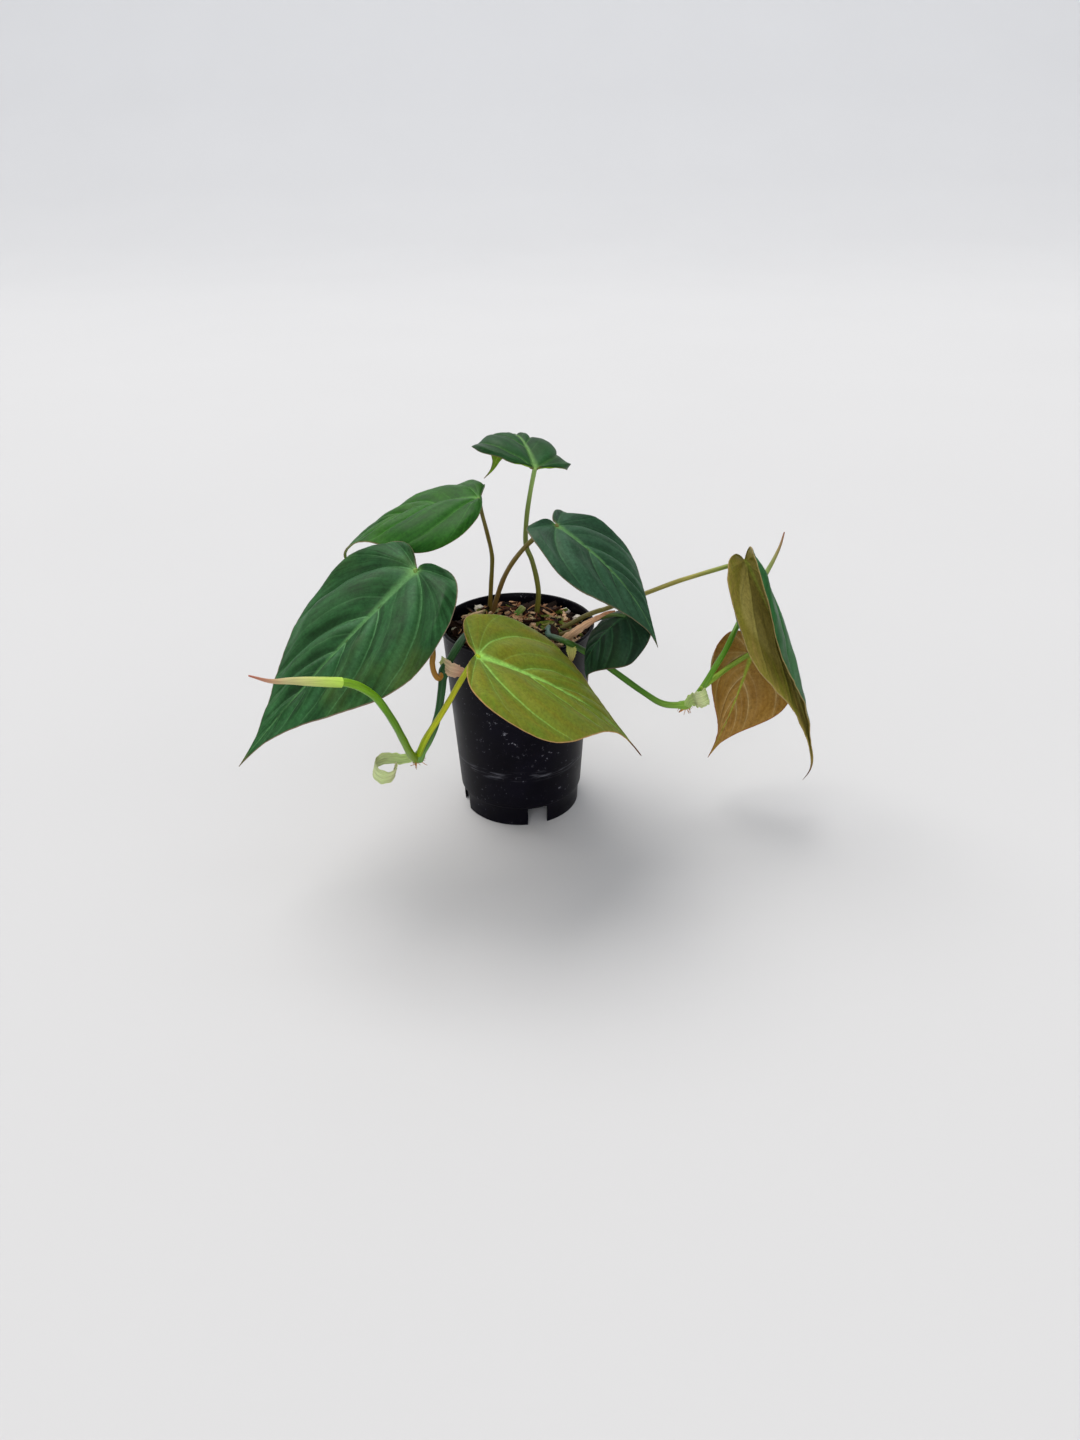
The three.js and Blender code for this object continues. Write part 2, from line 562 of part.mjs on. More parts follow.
function mixBody() {
  const foot = FLOOR_HEIGHT + 1.2 + GAP;
  const edge = MIX_LEVEL - 1;
  const rings = [1, 0.8, 0.6, 0.4, 0.2];
  const top = innerRadius(edge) - GAP - 0.1;
  const profile = [new THREE.Vector2(0, foot), new THREE.Vector2(innerRadius(foot) - GAP - 0.1, foot)];
  rings.forEach((share) => profile.push(new THREE.Vector2(top * share, edge)));
  profile.push(new THREE.Vector2(0, edge));
  const body = bareOf(new THREE.LatheGeometry(profile, MIX_SIDES).rotateX(Math.PI / 2));
  const places = body.attributes.position;
  for (let i = 0; i < places.count; i += 1) {
    const [x, y, z] = [places.getX(i), places.getY(i), places.getZ(i)];
    const isEdge = Math.hypot(x, y) > 0.95 * top;
    if (z > foot + 1 && !isEdge) places.setZ(i, mixHeight(x, y));
  }
  return asSolid(facingOut(mergeVertices(body, 1e-4)));
}

// Bark chips lying at all angles, half sunk in the mix and fused with it
function barkChips(keepClear) {
  const chips = [];
  while (chips.length < CHIP_COUNT) {
    const long = between(...CHIP_SIZE.long);
    const wide = between(...CHIP_SIZE.wide);
    const thick = between(...CHIP_SIZE.thick);
    const spread = Math.sqrt(between(0, 1)) * (RIM_RADIUS - 3.6 - long / 2);
    const around = between(0, 2 * Math.PI);
    const [x, y] = [spread * Math.cos(around), spread * Math.sin(around)];
    const chip = new THREE.BoxGeometry(long, wide, thick);
    chip.rotateX(between(-0.5, 0.5)).rotateY(between(-0.3, 0.3)).rotateZ(between(0, Math.PI));
    chip.translate(x, y, mixHeight(x, y) + between(-0.1, 0.6));
    const free = keepClear.every(([cx, cy, reach]) => Math.hypot(x - cx, y - cy) > reach + long / 3);
    if (free) chips.push(asSolid(chip));
  }
  return chips;
}

// A lumpy stone shape, swollen or shrunk by extra all over
function lump([x, y, radius], extra = 0) {
  const stone = bareOf(new THREE.IcosahedronGeometry(1, 1));
  const places = stone.attributes.position;
  const surface = new THREE.Vector3();
  for (let i = 0; i < places.count; i += 1) {
    surface.fromBufferAttribute(places, i);
    const swell = radius * (1 + 0.16 * Math.sin(7 * surface.x + x) * Math.cos(6 * surface.y + y));
    const grown = surface.clone().multiply(new THREE.Vector3(1.15, 1, 0.9)).multiplyScalar(swell)
      .addScaledVector(surface, 1.2 * extra);
    places.setXYZ(i, grown.x, grown.y, grown.z);
  }
  stone.translate(x, y, mixHeight(x, y) + 0.45 * radius);
  return asSolid(stone);
}

function barkPiece({ at: [x, y], size, turn }, extra = 0) {
  const piece = new THREE.BoxGeometry(...size.map((side) => side + 2 * extra));
  piece.rotateX(0.2).rotateY(0.12).rotateZ(toRadians(turn)).translate(x, y, mixHeight(x, y) + 0.5);
  return asSolid(piece);
}

function nodeSwelling([x, y, z, radius]) {
  return asSolid(new THREE.IcosahedronGeometry(radius, 1).translate(x, y, z));
}

// A short root nub pointing down from a node
function rootNub(tip, [x, y, z], extra) {
  return stem({ through: [[x, y, z], tip], radii: [0.9, 0.35] }, 6, 2, extra);
}

function vine(spec, extra = 0) {
  const swellings = spec.swellings.map(([x, y, z, radius]) => nodeSwelling([x, y, z, radius + extra]));
  const node = spec.swellings[spec.swellings.length - 1];
  const nubs = spec.nubs.map((tip) => rootNub(tip, node, extra));
  return [...swellings, ...nubs].reduce((whole, more) => whole.add(more), stem(spec, 9, 28, extra));
}

function sheath({ path, halfWidths, rises, across }, extra = 0) {
  const whole = extra > 0 ? lengthened(path, extra) : path;
  return strip(whole, halfWidths, rises, SHEATH, 2 * path.length, across, extra);
}

const leafNames = Object.keys(LEAVES);
const blades = Object.fromEntries(leafNames.map((name) => [name, blade(LEAVES[name])]));
const stalkOf = (name) => ({
  through: [...STALKS[name].through, LEAVES[name].at], radii: STALKS[name].radii,
});

const wideVines = [vine(VINE_LEFT, GAP), vine(VINE_RIGHT, GAP)];
const vines = { vine_left: vine(VINE_LEFT), vine_right: vine(VINE_RIGHT) };
const shoots = {
  shoot_left_stem: cut(stem(SHOOT_LEFT, 9, 16), [wideVines[0]]),
  shoot_right_stem: cut(stem(SHOOT_RIGHT, 9, 12), [wideVines[1]]),
};
const wideShoots = [stem(SHOOT_LEFT, 9, 16, GAP), stem(SHOOT_RIGHT, 9, 12, GAP)];
const spikes = {
  shoot_left_sheath: stem(SPIKE_LEFT, 9, 10),
  shoot_right_rolled_leaf: stem(SPIKE_RIGHT, 9, 10),
};
const stalks = Object.fromEntries(leafNames.map((name) => {
  const reach = LEAVES[name].join ?? JOIN_RADIUS;
  const join = asSolid(new THREE.IcosahedronGeometry(reach, 1).translate(...LEAVES[name].at));
  const tools = [blade(LEAVES[name], GAP), join, ...wideVines, ...wideShoots];
  return [`petiole_${name}`, cut(stem(stalkOf(name), 8, 15), tools)];
}));
const wideStalks = leafNames.map((name) => stem(stalkOf(name), 8, 15, GAP));
const stub = stem(STUB, 8, 4);

const sheaths = Object.fromEntries(Object.entries(SHEATHS).map(([name, spec]) => [
  name, cut(sheath(spec), [...wideVines, ...wideShoots, ...wideStalks]),
]));

// The mix, with a plain hole for each stem and a dish under each loose lump
const keepClear = [...PERLITE.map(([x, y, radius]) => [x, y, radius + 1]),
  ...BARK.map(({ at: [x, y], size }) => [x, y, size[0] / 2 + 1])];
const rightSheathHole = sheath(SHEATHS.sheath_right_long, 2 * GAP);
const standing = [...wideStalks, ...wideVines, stem(STUB, 8, 4, GAP), rightSheathHole];
const stones = PERLITE.map((spec) => cut(lump(spec), standing));
const barkPieces = BARK.map((spec) => cut(barkPiece(spec), standing));
const dishes = [...PERLITE.map((spec) => lump(spec, GAP)), ...BARK.map((spec) => barkPiece(spec, GAP))];
const filling = barkChips(keepClear).reduce((whole, chip) => whole.add(chip), mixBody());
const mix = cut(filling, [...standing, ...dishes]);

// Colour and roughness of each piece
const FINISH = {
  pot: ['#121116', 0.55],
  potting_mix: ['#4a3324', 0.95],
  perlite: ['#d9d5cb', 0.9],
  bark: ['#8d6a4c', 0.95],
  stem_stub: ['#4c7a3a', 0.7],
  vine_left: ['#2e5a3a', 0.6],
  vine_right: ['#3f8f2e', 0.55],
  shoot_left_stem: ['#3f9a12', 0.5],
  shoot_right_stem: ['#3f8a2c', 0.5],
  shoot_left_sheath: ['#9ba868', 0.6],
  shoot_right_rolled_leaf: ['#6d7d4a', 0.6],
  petiole: ['#7a7a34', 0.6],
  sheath_right_long: ['#c79a78', 0.8],
  sheath_left_upper: ['#b8a184', 0.8],
  sheath_left_curl: ['#a9c07a', 0.6],
  sheath_right_lobe: ['#9aa34a', 0.7],
  sheath_right_collar: ['#a3bd79', 0.6],
  leaf_top: ['#2f6b3c', 0.7],
  leaf_back_left: ['#3f7a3d', 0.6],
  leaf_large_left: ['#386352', 0.75],
  leaf_front: ['#777f33', 0.65],
  leaf_right_centre: ['#2d4f42', 0.75],
  leaf_small_dark: ['#1f3a33', 0.75],
  leaf_far_right: ['#4a6a3c', 0.7],
  leaf_bronze: ['#9a6a3c', 0.65],
};

const solids = {
  pot: pot(),
  potting_mix: mix,
  ...Object.fromEntries(stones.map((solid, i) => [`perlite_${i + 1}`, solid])),
  ...Object.fromEntries(barkPieces.map((solid, i) => [`bark_${i + 1}`, solid])),
  stem_stub: stub,
  ...vines,
  ...shoots,
  ...spikes,
  ...stalks,
  ...sheaths,
  ...Object.fromEntries(leafNames.map((name) => [`leaf_${name}`, blades[name]])),
};

const plant = new THREE.Group();
for (const [name, solid] of Object.entries(solids)) {
  const [color, roughness] = FINISH[name] ?? FINISH[name.split('_')[0]];
  const material = new THREE.MeshStandardMaterial({ color, roughness, metalness: 0 });
  const mesh = new THREE.Mesh(asGeometry(solid), material);
  mesh.name = name;
  plant.add(mesh);
}

// Stand the plant with the bottom centre of its bounding box at the origin
const bounds = new THREE.Box3().setFromObject(plant, true);
const centre = bounds.getCenter(new THREE.Vector3());
plant.position.set(-centre.x, -centre.y, -bounds.min.z);

export default plant;
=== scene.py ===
import math

import bmesh
import bpy
import numpy as np
from mathutils import Matrix, Vector, noise


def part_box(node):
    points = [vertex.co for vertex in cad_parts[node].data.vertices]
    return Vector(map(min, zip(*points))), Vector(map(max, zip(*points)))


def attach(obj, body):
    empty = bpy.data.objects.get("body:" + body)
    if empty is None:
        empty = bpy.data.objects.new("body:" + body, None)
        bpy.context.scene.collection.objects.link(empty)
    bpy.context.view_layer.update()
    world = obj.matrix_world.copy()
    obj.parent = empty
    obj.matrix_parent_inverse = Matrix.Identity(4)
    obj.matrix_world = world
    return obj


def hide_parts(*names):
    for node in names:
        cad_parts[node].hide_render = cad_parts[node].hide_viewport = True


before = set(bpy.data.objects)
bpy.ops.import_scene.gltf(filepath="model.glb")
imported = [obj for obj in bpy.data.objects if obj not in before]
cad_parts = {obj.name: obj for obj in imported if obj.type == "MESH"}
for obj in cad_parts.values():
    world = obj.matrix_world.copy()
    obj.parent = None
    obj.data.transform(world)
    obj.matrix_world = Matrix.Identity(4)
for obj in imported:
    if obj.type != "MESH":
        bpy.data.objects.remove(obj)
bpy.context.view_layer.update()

# Nursery pot. Thin black polypropylene, injection moulded in one shot with its rim bead, the step
# ring near the foot and the notched skirt below it. Watering and stacking leave dust and pale scuffs.
pot_low, pot_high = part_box("pot")
POT_AXIS = np.array([500 * (pot_low.x + pot_high.x), 500 * (pot_low.y + pot_high.y), 0])
POT_HEIGHT = 93.4
RIM_RADIUS = 35
FOOT_RADIUS = 27.85
STEP_HEIGHT = 10.8
STEP_RADIUS = 29.2
FLOOR_HEIGHT = 10
WALL = 1.0
POT_SIDES = 240


def to_row(places):
    """Millimetres round the pot's axis to metres in the row frame."""
    return (np.asarray(places, float) + POT_AXIS) / 1000


def make_piece(name, places, faces, attributes=None, sharp_from=38):
    """A mesh piece from places in millimetres, with its shading values stored on its points."""
    mesh = bpy.data.meshes.new(name)
    mesh.from_pydata(to_row(places).tolist(), [], [list(face) for face in faces])
    for label, values in (attributes or {}).items():
        values = np.asarray(values, np.float32)
        flat = values.ndim == 1
        layer = mesh.attributes.new(label, "FLOAT" if flat else "FLOAT_VECTOR", "POINT")
        layer.data.foreach_set("value" if flat else "vector", values.ravel())
    shape = bmesh.new()
    shape.from_mesh(mesh)
    bmesh.ops.remove_doubles(shape, verts=shape.verts, dist=2e-6)
    bmesh.ops.recalc_face_normals(shape, faces=shape.faces)
    shape.to_mesh(mesh)
    shape.free()
    mesh.shade_smooth()
    mesh.set_sharp_from_angle(angle=math.radians(sharp_from))
    piece = bpy.data.objects.new(name, mesh)
    bpy.context.scene.collection.objects.link(piece)
    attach(piece, "root")
    return piece


def grid_faces(rows, columns, start=0, closed=False):
    """Faces of a grid whose points are stored row after row; closed joins the last column to the first."""
    faces = []
    for r in range(rows - 1):
        for c in range(columns if closed else columns - 1):
            n = (c + 1) % columns
            a = start + r * columns
            faces.append((a + c, a + n, a + columns + n, a + columns + c))
    return faces


def turned(profile, sides):
    """Points and faces of a profile turned round the pot's axis; its ends lie on the axis."""
    angles = np.linspace(0, 2 * math.pi, sides, endpoint=False)
    places = [[r * math.cos(a), r * math.sin(a), z] for r, z in profile for a in angles]
    return np.array(places), grid_faces(len(profile), sides, closed=True)


def inner_radius(z):
    rise = (z - STEP_HEIGHT) / (POT_HEIGHT - 1.4 - STEP_HEIGHT)
    return STEP_RADIUS + (RIM_RADIUS - 0.7 - STEP_RADIUS) * rise - WALL


pot_profile = [
    (0, 10), (14, 10), (FOOT_RADIUS - WALL, 10), (FOOT_RADIUS - WALL, 5), (FOOT_RADIUS - WALL, 0.25),
    (FOOT_RADIUS - WALL + 0.25, 0), (FOOT_RADIUS - 0.25, 0), (FOOT_RADIUS, 0.25), (FOOT_RADIUS + 0.17, 5),
    (FOOT_RADIUS + 0.32, 9.7), (FOOT_RADIUS + 0.45, 10.05), (STEP_RADIUS - 0.4, 10.5), (STEP_RADIUS - 0.08, 10.7),
    (STEP_RADIUS + 0.02, 11.1),
]
for z in np.linspace(13, 90.8, 26):
    pot_profile.append((inner_radius(z) + WALL, z))
pot_profile += [
    (RIM_RADIUS - 0.72, 91.8), (RIM_RADIUS - 0.5, 92.05), (RIM_RADIUS - 0.12, 92.2), (RIM_RADIUS, 92.45),
    (RIM_RADIUS, 92.95), (RIM_RADIUS - 0.12, 93.25), (RIM_RADIUS - 0.35, 93.4), (RIM_RADIUS - 1.0, 93.4),
    (RIM_RADIUS - 1.25, 93.3), (RIM_RADIUS - 1.45, 93.0), (inner_radius(91), 91), (inner_radius(60), 60),
    (inner_radius(30), 30), (inner_radius(11.9), 11.9), (inner_radius(11.9) - 0.7, 11.2), (14, 11.2), (0, 11.2),
]
places, faces = turned(pot_profile, POT_SIDES)
pot = make_piece("pot_shell", places, faces)

# The skirt is notched at four places and the floor has five drain holes
cutters = bmesh.new()
for i in range(4):
    turn = Matrix.Rotation(math.radians(-73 + 90 * i), 4, "Z")
    made = bmesh.ops.create_cube(cutters, size=1, matrix=turn @ Matrix.Translation((FOOT_RADIUS, 0, 0))
                                 @ Matrix.Diagonal((6, 9.6, 18.8, 1)))
for i in range(5):
    angle = 2 * math.pi * i / 5
    place = Matrix.Translation((16 * math.cos(angle), 16 * math.sin(angle), FLOOR_HEIGHT))
    bmesh.ops.create_cone(cutters, cap_ends=True, segments=40, radius1=3.5, radius2=3.5, depth=6, matrix=place)
bmesh.ops.transform(cutters, matrix=Matrix.Scale(0.001, 4) @ Matrix.Translation(Vector(POT_AXIS)), verts=cutters.verts)
cutter_mesh = bpy.data.meshes.new("notches")
cutters.to_mesh(cutter_mesh)
cutters.free()
notches = bpy.data.objects.new("notches", cutter_mesh)
bpy.context.scene.collection.objects.link(notches)
carve = pot.modifiers.new("notches", "BOOLEAN")
carve.operation = "DIFFERENCE"
carve.solver = "EXACT"
carve.object = notches
bpy.context.view_layer.update()
carved = bpy.data.meshes.new_from_object(pot.evaluated_get(bpy.context.evaluated_depsgraph_get()))
pot.modifiers.clear()
pot.data = carved
pot.data.shade_smooth()
pot.data.set_sharp_from_angle(angle=math.radians(38))
bpy.data.objects.remove(notches)
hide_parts("pot")


def linear(code):
    """An sRGB hex colour as linear values with full alpha."""
    parts = [int(code[i:i + 2], 16) / 255 for i in (1, 3, 5)]
    return tuple(v / 12.92 if v <= 0.04045 else ((v + 0.055) / 1.055) ** 2.4 for v in parts) + (1,)


def add_node(material, kind, inputs=None, **settings):
    """Adds a node, sets its fields, and fills or links its inputs."""
    made = material.node_tree.nodes.new(kind)
    for label, value in settings.items():
        setattr(made, label, value)
    for label, value in (inputs or {}).items():
        socket = made.inputs[label]
        if isinstance(value, bpy.types.NodeSocket):
            material.node_tree.links.new(value, socket)
        else:
            socket.default_value = value
    return made


def new_material(name):
    """A material with its shader and nothing else on it yet."""
    material = bpy.data.materials.new(name)
    material.use_nodes = True
    return material, material.node_tree.nodes["Principled BSDF"]


def plug(material, shader, **sources):
    """Links colour, roughness and normal outputs to the shader's sockets."""
    for label, source in sources.items():
        material.node_tree.links.new(source, shader.inputs[label.replace("_", " ")])


# Black polypropylene, gloss moulded: a clean skin with a soft sheen, dulled by dust specks and by
# a scuffed band where the pot above sat in the stack
black_pp, shader = new_material("black_polypropylene")
shader.inputs["IOR"].default_value = 1.49
shader.inputs["Specular IOR Level"].default_value = 0.08
object_place = add_node(black_pp, "ShaderNodeTexCoord").outputs["Object"]
height = add_node(black_pp, "ShaderNodeSeparateXYZ", {0: object_place}).outputs["Z"]
dust = add_node(black_pp, "ShaderNodeTexNoise", {"Vector": object_place, "Scale": 480, "Detail": 6, "Roughness": 0.75})
specks = add_node(black_pp, "ShaderNodeMapRange", {0: dust.outputs[0], 1: 0.615, 2: 0.665, 3: 0.0, 4: 0.9})
clouds = add_node(black_pp, "ShaderNodeTexNoise", {"Vector": object_place, "Scale": 60, "Detail": 5})
dusty = add_node(black_pp, "ShaderNodeMapRange", {0: clouds.outputs[0], 1: 0.42, 2: 0.75, 3: 0.05, 4: 1.0})
specks = add_node(black_pp, "ShaderNodeMath", {0: specks.outputs[0], 1: dusty.outputs[0]}, operation="MULTIPLY")
stretched = add_node(black_pp, "ShaderNodeMapping", {0: object_place, 3: (120, 120, 1400)})
scratches = add_node(black_pp, "ShaderNodeTexNoise", {"Vector": stretched.outputs[0], "Scale": 1, "Detail": 3})
scratches = add_node(black_pp, "ShaderNodeMapRange", {0: scratches.outputs[0], 1: 0.52, 2: 0.72, 3: 0.0, 4: 0.3})
band_low = add_node(black_pp, "ShaderNodeMapRange", {0: height, 1: 0.0255, 2: 0.0275, 3: 0.0, 4: 1.0})
band_high = add_node(black_pp, "ShaderNodeMapRange", {0: height, 1: 0.0315, 2: 0.030, 3: 0.0, 4: 1.0})
band = add_node(black_pp, "ShaderNodeMath", {0: band_low.outputs[0], 1: band_high.outputs[0]}, operation="MULTIPLY")
scuff = add_node(black_pp, "ShaderNodeMath", {0: band.outputs[0], 1: scratches.outputs[0]}, operation="MULTIPLY")
marks = add_node(black_pp, "ShaderNodeMath", {0: specks.outputs[0], 1: scuff.outputs[0]}, operation="ADD", use_clamp=True)
film = add_node(black_pp, "ShaderNodeMix", {0: dusty.outputs[0], 6: linear("#05040b"), 7: linear("#0b0915")}, data_type="RGBA")
skin = add_node(black_pp, "ShaderNodeMix", {0: marks.outputs[0], 6: film.outputs[2], 7: linear("#8b8c96")}, data_type="RGBA")
gloss = add_node(black_pp, "ShaderNodeMapRange", {0: clouds.outputs[0], 1: 0.3, 2: 0.8, 3: 0.32, 4: 0.48})
ripple = add_node(black_pp, "ShaderNodeBump", {"Height": clouds.outputs[0], "Strength": 0.12, "Distance": 0.0006})
plug(black_pp, shader, Base_Color=skin.outputs[2], Roughness=gloss.outputs[0], Normal=ripple.outputs[0])
pot.data.materials.clear()
pot.data.materials.append(black_pp)


# Potting mix. Pine bark fines with coco fibre and a little moss, tipped in and settled; slivers and
# strands lie at all angles on top. It is one bed down to the pot's floor.
MIX_LEVEL = 88
rng = np.random.default_rng(20417)


def mix_height(x, y):
    return MIX_LEVEL + 0.04 * y + 0.8 * (np.sin(0.55 * x + 1.3) * np.cos(0.47 * y - 0.4)
                                         + 0.6 * np.sin(1.1 * x - 0.9 * y))


def crumble(x, y):
    return np.array([0.7 * noise.fractal(Vector((a * 0.45, b * 0.45, 3.1)), 0.8, 2.1, 5) for a, b in zip(x, y)])


bed_rings = 46
bed_sides = 150
edge_radius = inner_radius(MIX_LEVEL - 1) - 0.4
radius = np.repeat(edge_radius * np.linspace(0.001, 1, bed_rings), bed_sides)
angle = np.tile(np.linspace(0, 2 * math.pi, bed_sides, endpoint=False), bed_rings)
x, y = radius * np.cos(angle), radius * np.sin(angle)
settle = np.clip((edge_radius - radius) / 3, 0, 1)
z = mix_height(x, y) * settle + (MIX_LEVEL - 1) * (1 - settle) + crumble(x, y)
bed = np.column_stack([x, y, z])
foot = [[r * math.cos(a), r * math.sin(a), h] for r, h in ((inner_radius(40) - 0.4, 40), (inner_radius(11.5) - 0.9, 11.6),
        (0.01, 11.6)) for a in np.linspace(0, 2 * math.pi, bed_sides, endpoint=False)]
mix_places = [bed, np.array(foot)]
mix_faces = grid_faces(bed_rings + 3, bed_sides, closed=True)
mix_tone = [np.full(len(bed) + len(foot), 0.02)]
mix_count = len(bed) + len(foot)


def sliver(long, wide, thick):
    """A torn flake of bark: a thin block with ragged ends and a bent back."""
    columns = np.linspace(-1, 1, 6)
    rows = np.linspace(-1, 1, 4)
    ends = rng.uniform(0.72, 1.0, (2, 4))
    bow = rng.uniform(-0.5, 0.5)
    points = []
    for level in (1, -1):
        for c in columns:
            for k, r in enumerate(rows):
                reach = ends[0 if c < 0 else 1, k]
                taper = 1 - 0.35 * c * c
                points.append([0.5 * long * c * reach, 0.5 * wide * r * taper,
                               0.5 * thick * level * (1 - 0.3 * r * r) + bow * c * c])
    points = np.array(points) + rng.normal(0, 0.07, (48, 3)) * [1, 1, thick]
    top = grid_faces(6, 4)
    bottom = [tuple(24 + i for i in face) for face in top]
    rim = [i * 4 for i in range(6)] + [20 + i for i in range(1, 4)] + [i * 4 + 3 for i in range(4, -1, -1)] + [2, 1]
    sides = [(a, b, b + 24, a + 24) for a, b in zip(rim, rim[1:] + rim[:1])]
    return points, top + bottom + sides


def lay(points, spot, lean):
    """Turns points to a random heading, leans them, and puts them down at a spot."""
    turn = Matrix.Rotation(rng.uniform(0, math.pi * 2), 3, "Z") @ Matrix.Rotation(rng.uniform(-lean, lean), 3, "Y") \
        @ Matrix.Rotation(rng.uniform(-0.9, 0.9), 3, "X")
    return points @ np.array(turn).T + spot


for i in range(430):
    long = rng.uniform(2.2, 9.5) if i % 4 else rng.uniform(8, 15)
    wide = (rng.uniform(0.9, 4.2) if i % 4 else rng.uniform(0.8, 2.6)) if i % 9 else rng.uniform(4.5, 7.5)
    spread = math.sqrt(rng.uniform(0, 1)) * (edge_radius - 0.8 - 0.42 * long)
    around = rng.uniform(0, 2 * math.pi)
    cx, cy = spread * math.cos(around), spread * math.sin(around)
    points, chip_faces = sliver(long, wide, rng.uniform(0.5, 1.5))
    spot = np.array([cx, cy, mix_height(cx, cy) + rng.uniform(0.2, 1.9)])
    mix_places.append(lay(points, spot, 0.35))
    mix_faces += [tuple(mix_count + k for k in face) for face in chip_faces]
    tone = rng.choice([rng.uniform(0.0, 0.3), rng.uniform(0.5, 0.98), 1.0], p=[0.56, 0.32, 0.12])
    mix_tone.append(np.full(len(points), tone))
    mix_count += len(points)


def smooth_path(through, count):
    """Evenly spaced places on a smooth curve through the given points."""
    p = np.asarray(through, float)
    p = np.vstack([2 * p[0] - p[1], p, 2 * p[-1] - p[-2]])
    t = np.linspace(0, 1, 40, endpoint=False)[:, None]
    dense = []
    for a, b, c, d in zip(p, p[1:], p[2:], p[3:]):
        leave, arrive = (c - a) / 2, (d - b) / 2
        dense.append(b + leave * t + (3 * (c - b) - 2 * leave - arrive) * t ** 2 + (2 * (b - c) + leave + arrive) * t ** 3)
    dense = np.vstack(dense + [p[-2:-1]])
    run = np.concatenate([[0], np.cumsum(np.linalg.norm(np.diff(dense, axis=0), axis=1))])
    even = np.linspace(0, run[-1], count)
    return np.stack([np.interp(even, run, dense[:, k]) for k in range(3)], axis=1), run[-1]


def directions(places, across=None):
    """Unit directions along a path, across it, and out of it, without twist unless across is given."""
    on = np.gradient(places, axis=0)
    on /= np.linalg.norm(on, axis=1)[:, None]
    last = np.array(across if across is not None else ([0, 0, 1] if abs(on[0][2]) < 0.8 else [0, 1, 0]), float)
    beside = []
    for direction in on:
        guide = np.array(across, float) if across is not None else last
        last = guide - direction * (guide @ direction)
        last /= np.linalg.norm(last)
        beside.append(last)
    beside = np.array(beside)
    return on, beside, np.cross(on, beside)


def tube(through, radii, sides=20, count=80, relief=None, open_start=0.0):
    """A stem: rings along a smooth path, closed with rounded ends.

    radii are spaced evenly along it, relief(u, angle) changes them, and open_start makes the start a
    sleeve whose wall is that thick. The grain values run round and along the stem for its material."""
    middle, length = smooth_path(through, count)
    on, beside, out = directions(middle)
    u = np.linspace(0, 1, count)
    base = np.interp(u, np.linspace(0, 1, len(radii)), radii)
    angles = np.linspace(0, 2 * math.pi, sides, endpoint=False)
    grown = base[:, None] * np.ones(sides)
    if relief is not None:
        grown = grown + relief(u[:, None], angles[None, :])
    rings, along, shift = [], [], []
    for i in range(count):
        rings.append((i, grown[i], 0.0))
    end = grown[-1].mean()
    for k in (0.35, 0.65, 0.87, 1.0):
        rings.append((count - 1, grown[-1] * max(math.sqrt(1 - k * k), 0.004), k * 0.55 * end))
    first = grown[0].mean()
    if open_start:
        inner = (first - open_start) / first
        rings = [(0, grown[0] * 0.004, 1.8 * first), (0, grown[0] * inner, 1.8 * first),
                 (0, grown[0] * inner, 0.1), (0, grown[0] * (1 + inner) / 2, -0.12)] + rings
    else:
        for k in (0.35, 0.65, 0.87, 1.0):
            rings.insert(0, (0, grown[0] * max(math.sqrt(1 - k * k), 0.004), -k * 0.55 * first))
    places = []
    for i, radius, push in rings:
        circle = np.cos(angles)[:, None] * beside[i] + np.sin(angles)[:, None] * out[i]
        places.append(middle[i] + on[i] * push + circle * np.asarray(radius)[:, None])
        along.append(np.full(sides, u[i]))
        shift.append(np.column_stack([np.cos(angles), np.sin(angles), np.full(sides, u[i] * length / 10)]))
    return (np.vstack(places), grid_faces(len(rings), sides, closed=True),
            {"along": np.concatenate(along), "grain": np.vstack(shift)})


for i in range(90):
    long = rng.uniform(6, 15)
    steps = np.linspace(-0.5, 0.5, 5)
    bow = rng.uniform(-0.22, 0.22, 2)
    line = np.column_stack([steps * long, bow[0] * long * (4 * steps ** 2 - 1), bow[1] * 0.5 * long * (1 - 4 * steps ** 2)])
    spread = math.sqrt(rng.uniform(0, 1)) * (edge_radius - 1.2 - 0.5 * long)
    around = rng.uniform(0, 2 * math.pi)
    cx, cy = spread * math.cos(around), spread * math.sin(around)
    line = lay(line, np.array([cx, cy, mix_height(cx, cy) + rng.uniform(1.0, 2.6)]), 0.2)
    thin = rng.uniform(0.14, 0.32)
    points, strand_faces, extra = tube(line, [thin, thin, 0.6 * thin], sides=5, count=9)
    mix_places.append(points)
    mix_faces += [tuple(mix_count + k for k in face) for face in strand_faces]
    mix_tone.append(np.full(len(points), rng.uniform(0.35, 0.75)))
    mix_count += len(points)

mix = make_piece("potting_mix_bed", np.vstack(mix_places), mix_faces, {"tone": np.concatenate(mix_tone)}, 50)
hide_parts("potting_mix")

# Weathered pine bark: dry and matt, each flake its own brown from near black through red-brown to
# tan, a few green with moss, with fine fibre lines about half a millimetre apart
bark_mix, shader = new_material("pine_bark_mix")
tone = add_node(bark_mix, "ShaderNodeAttribute", attribute_name="tone").outputs["Fac"]
spot = add_node(bark_mix, "ShaderNodeTexCoord").outputs["Object"]
fibre = add_node(bark_mix, "ShaderNodeTexNoise", {"Vector": spot, "Scale": 900, "Detail": 5, "Roughness": 0.7})
blotch = add_node(bark_mix, "ShaderNodeTexNoise", {"Vector": spot, "Scale": 190, "Detail": 3})
mixed = add_node(bark_mix, "ShaderNodeMath", {0: blotch.outputs[0], 1: 0.34, 2: -0.17}, operation="MULTIPLY_ADD")
mixed = add_node(bark_mix, "ShaderNodeMath", {0: tone, 1: mixed.outputs[0]}, operation="ADD")
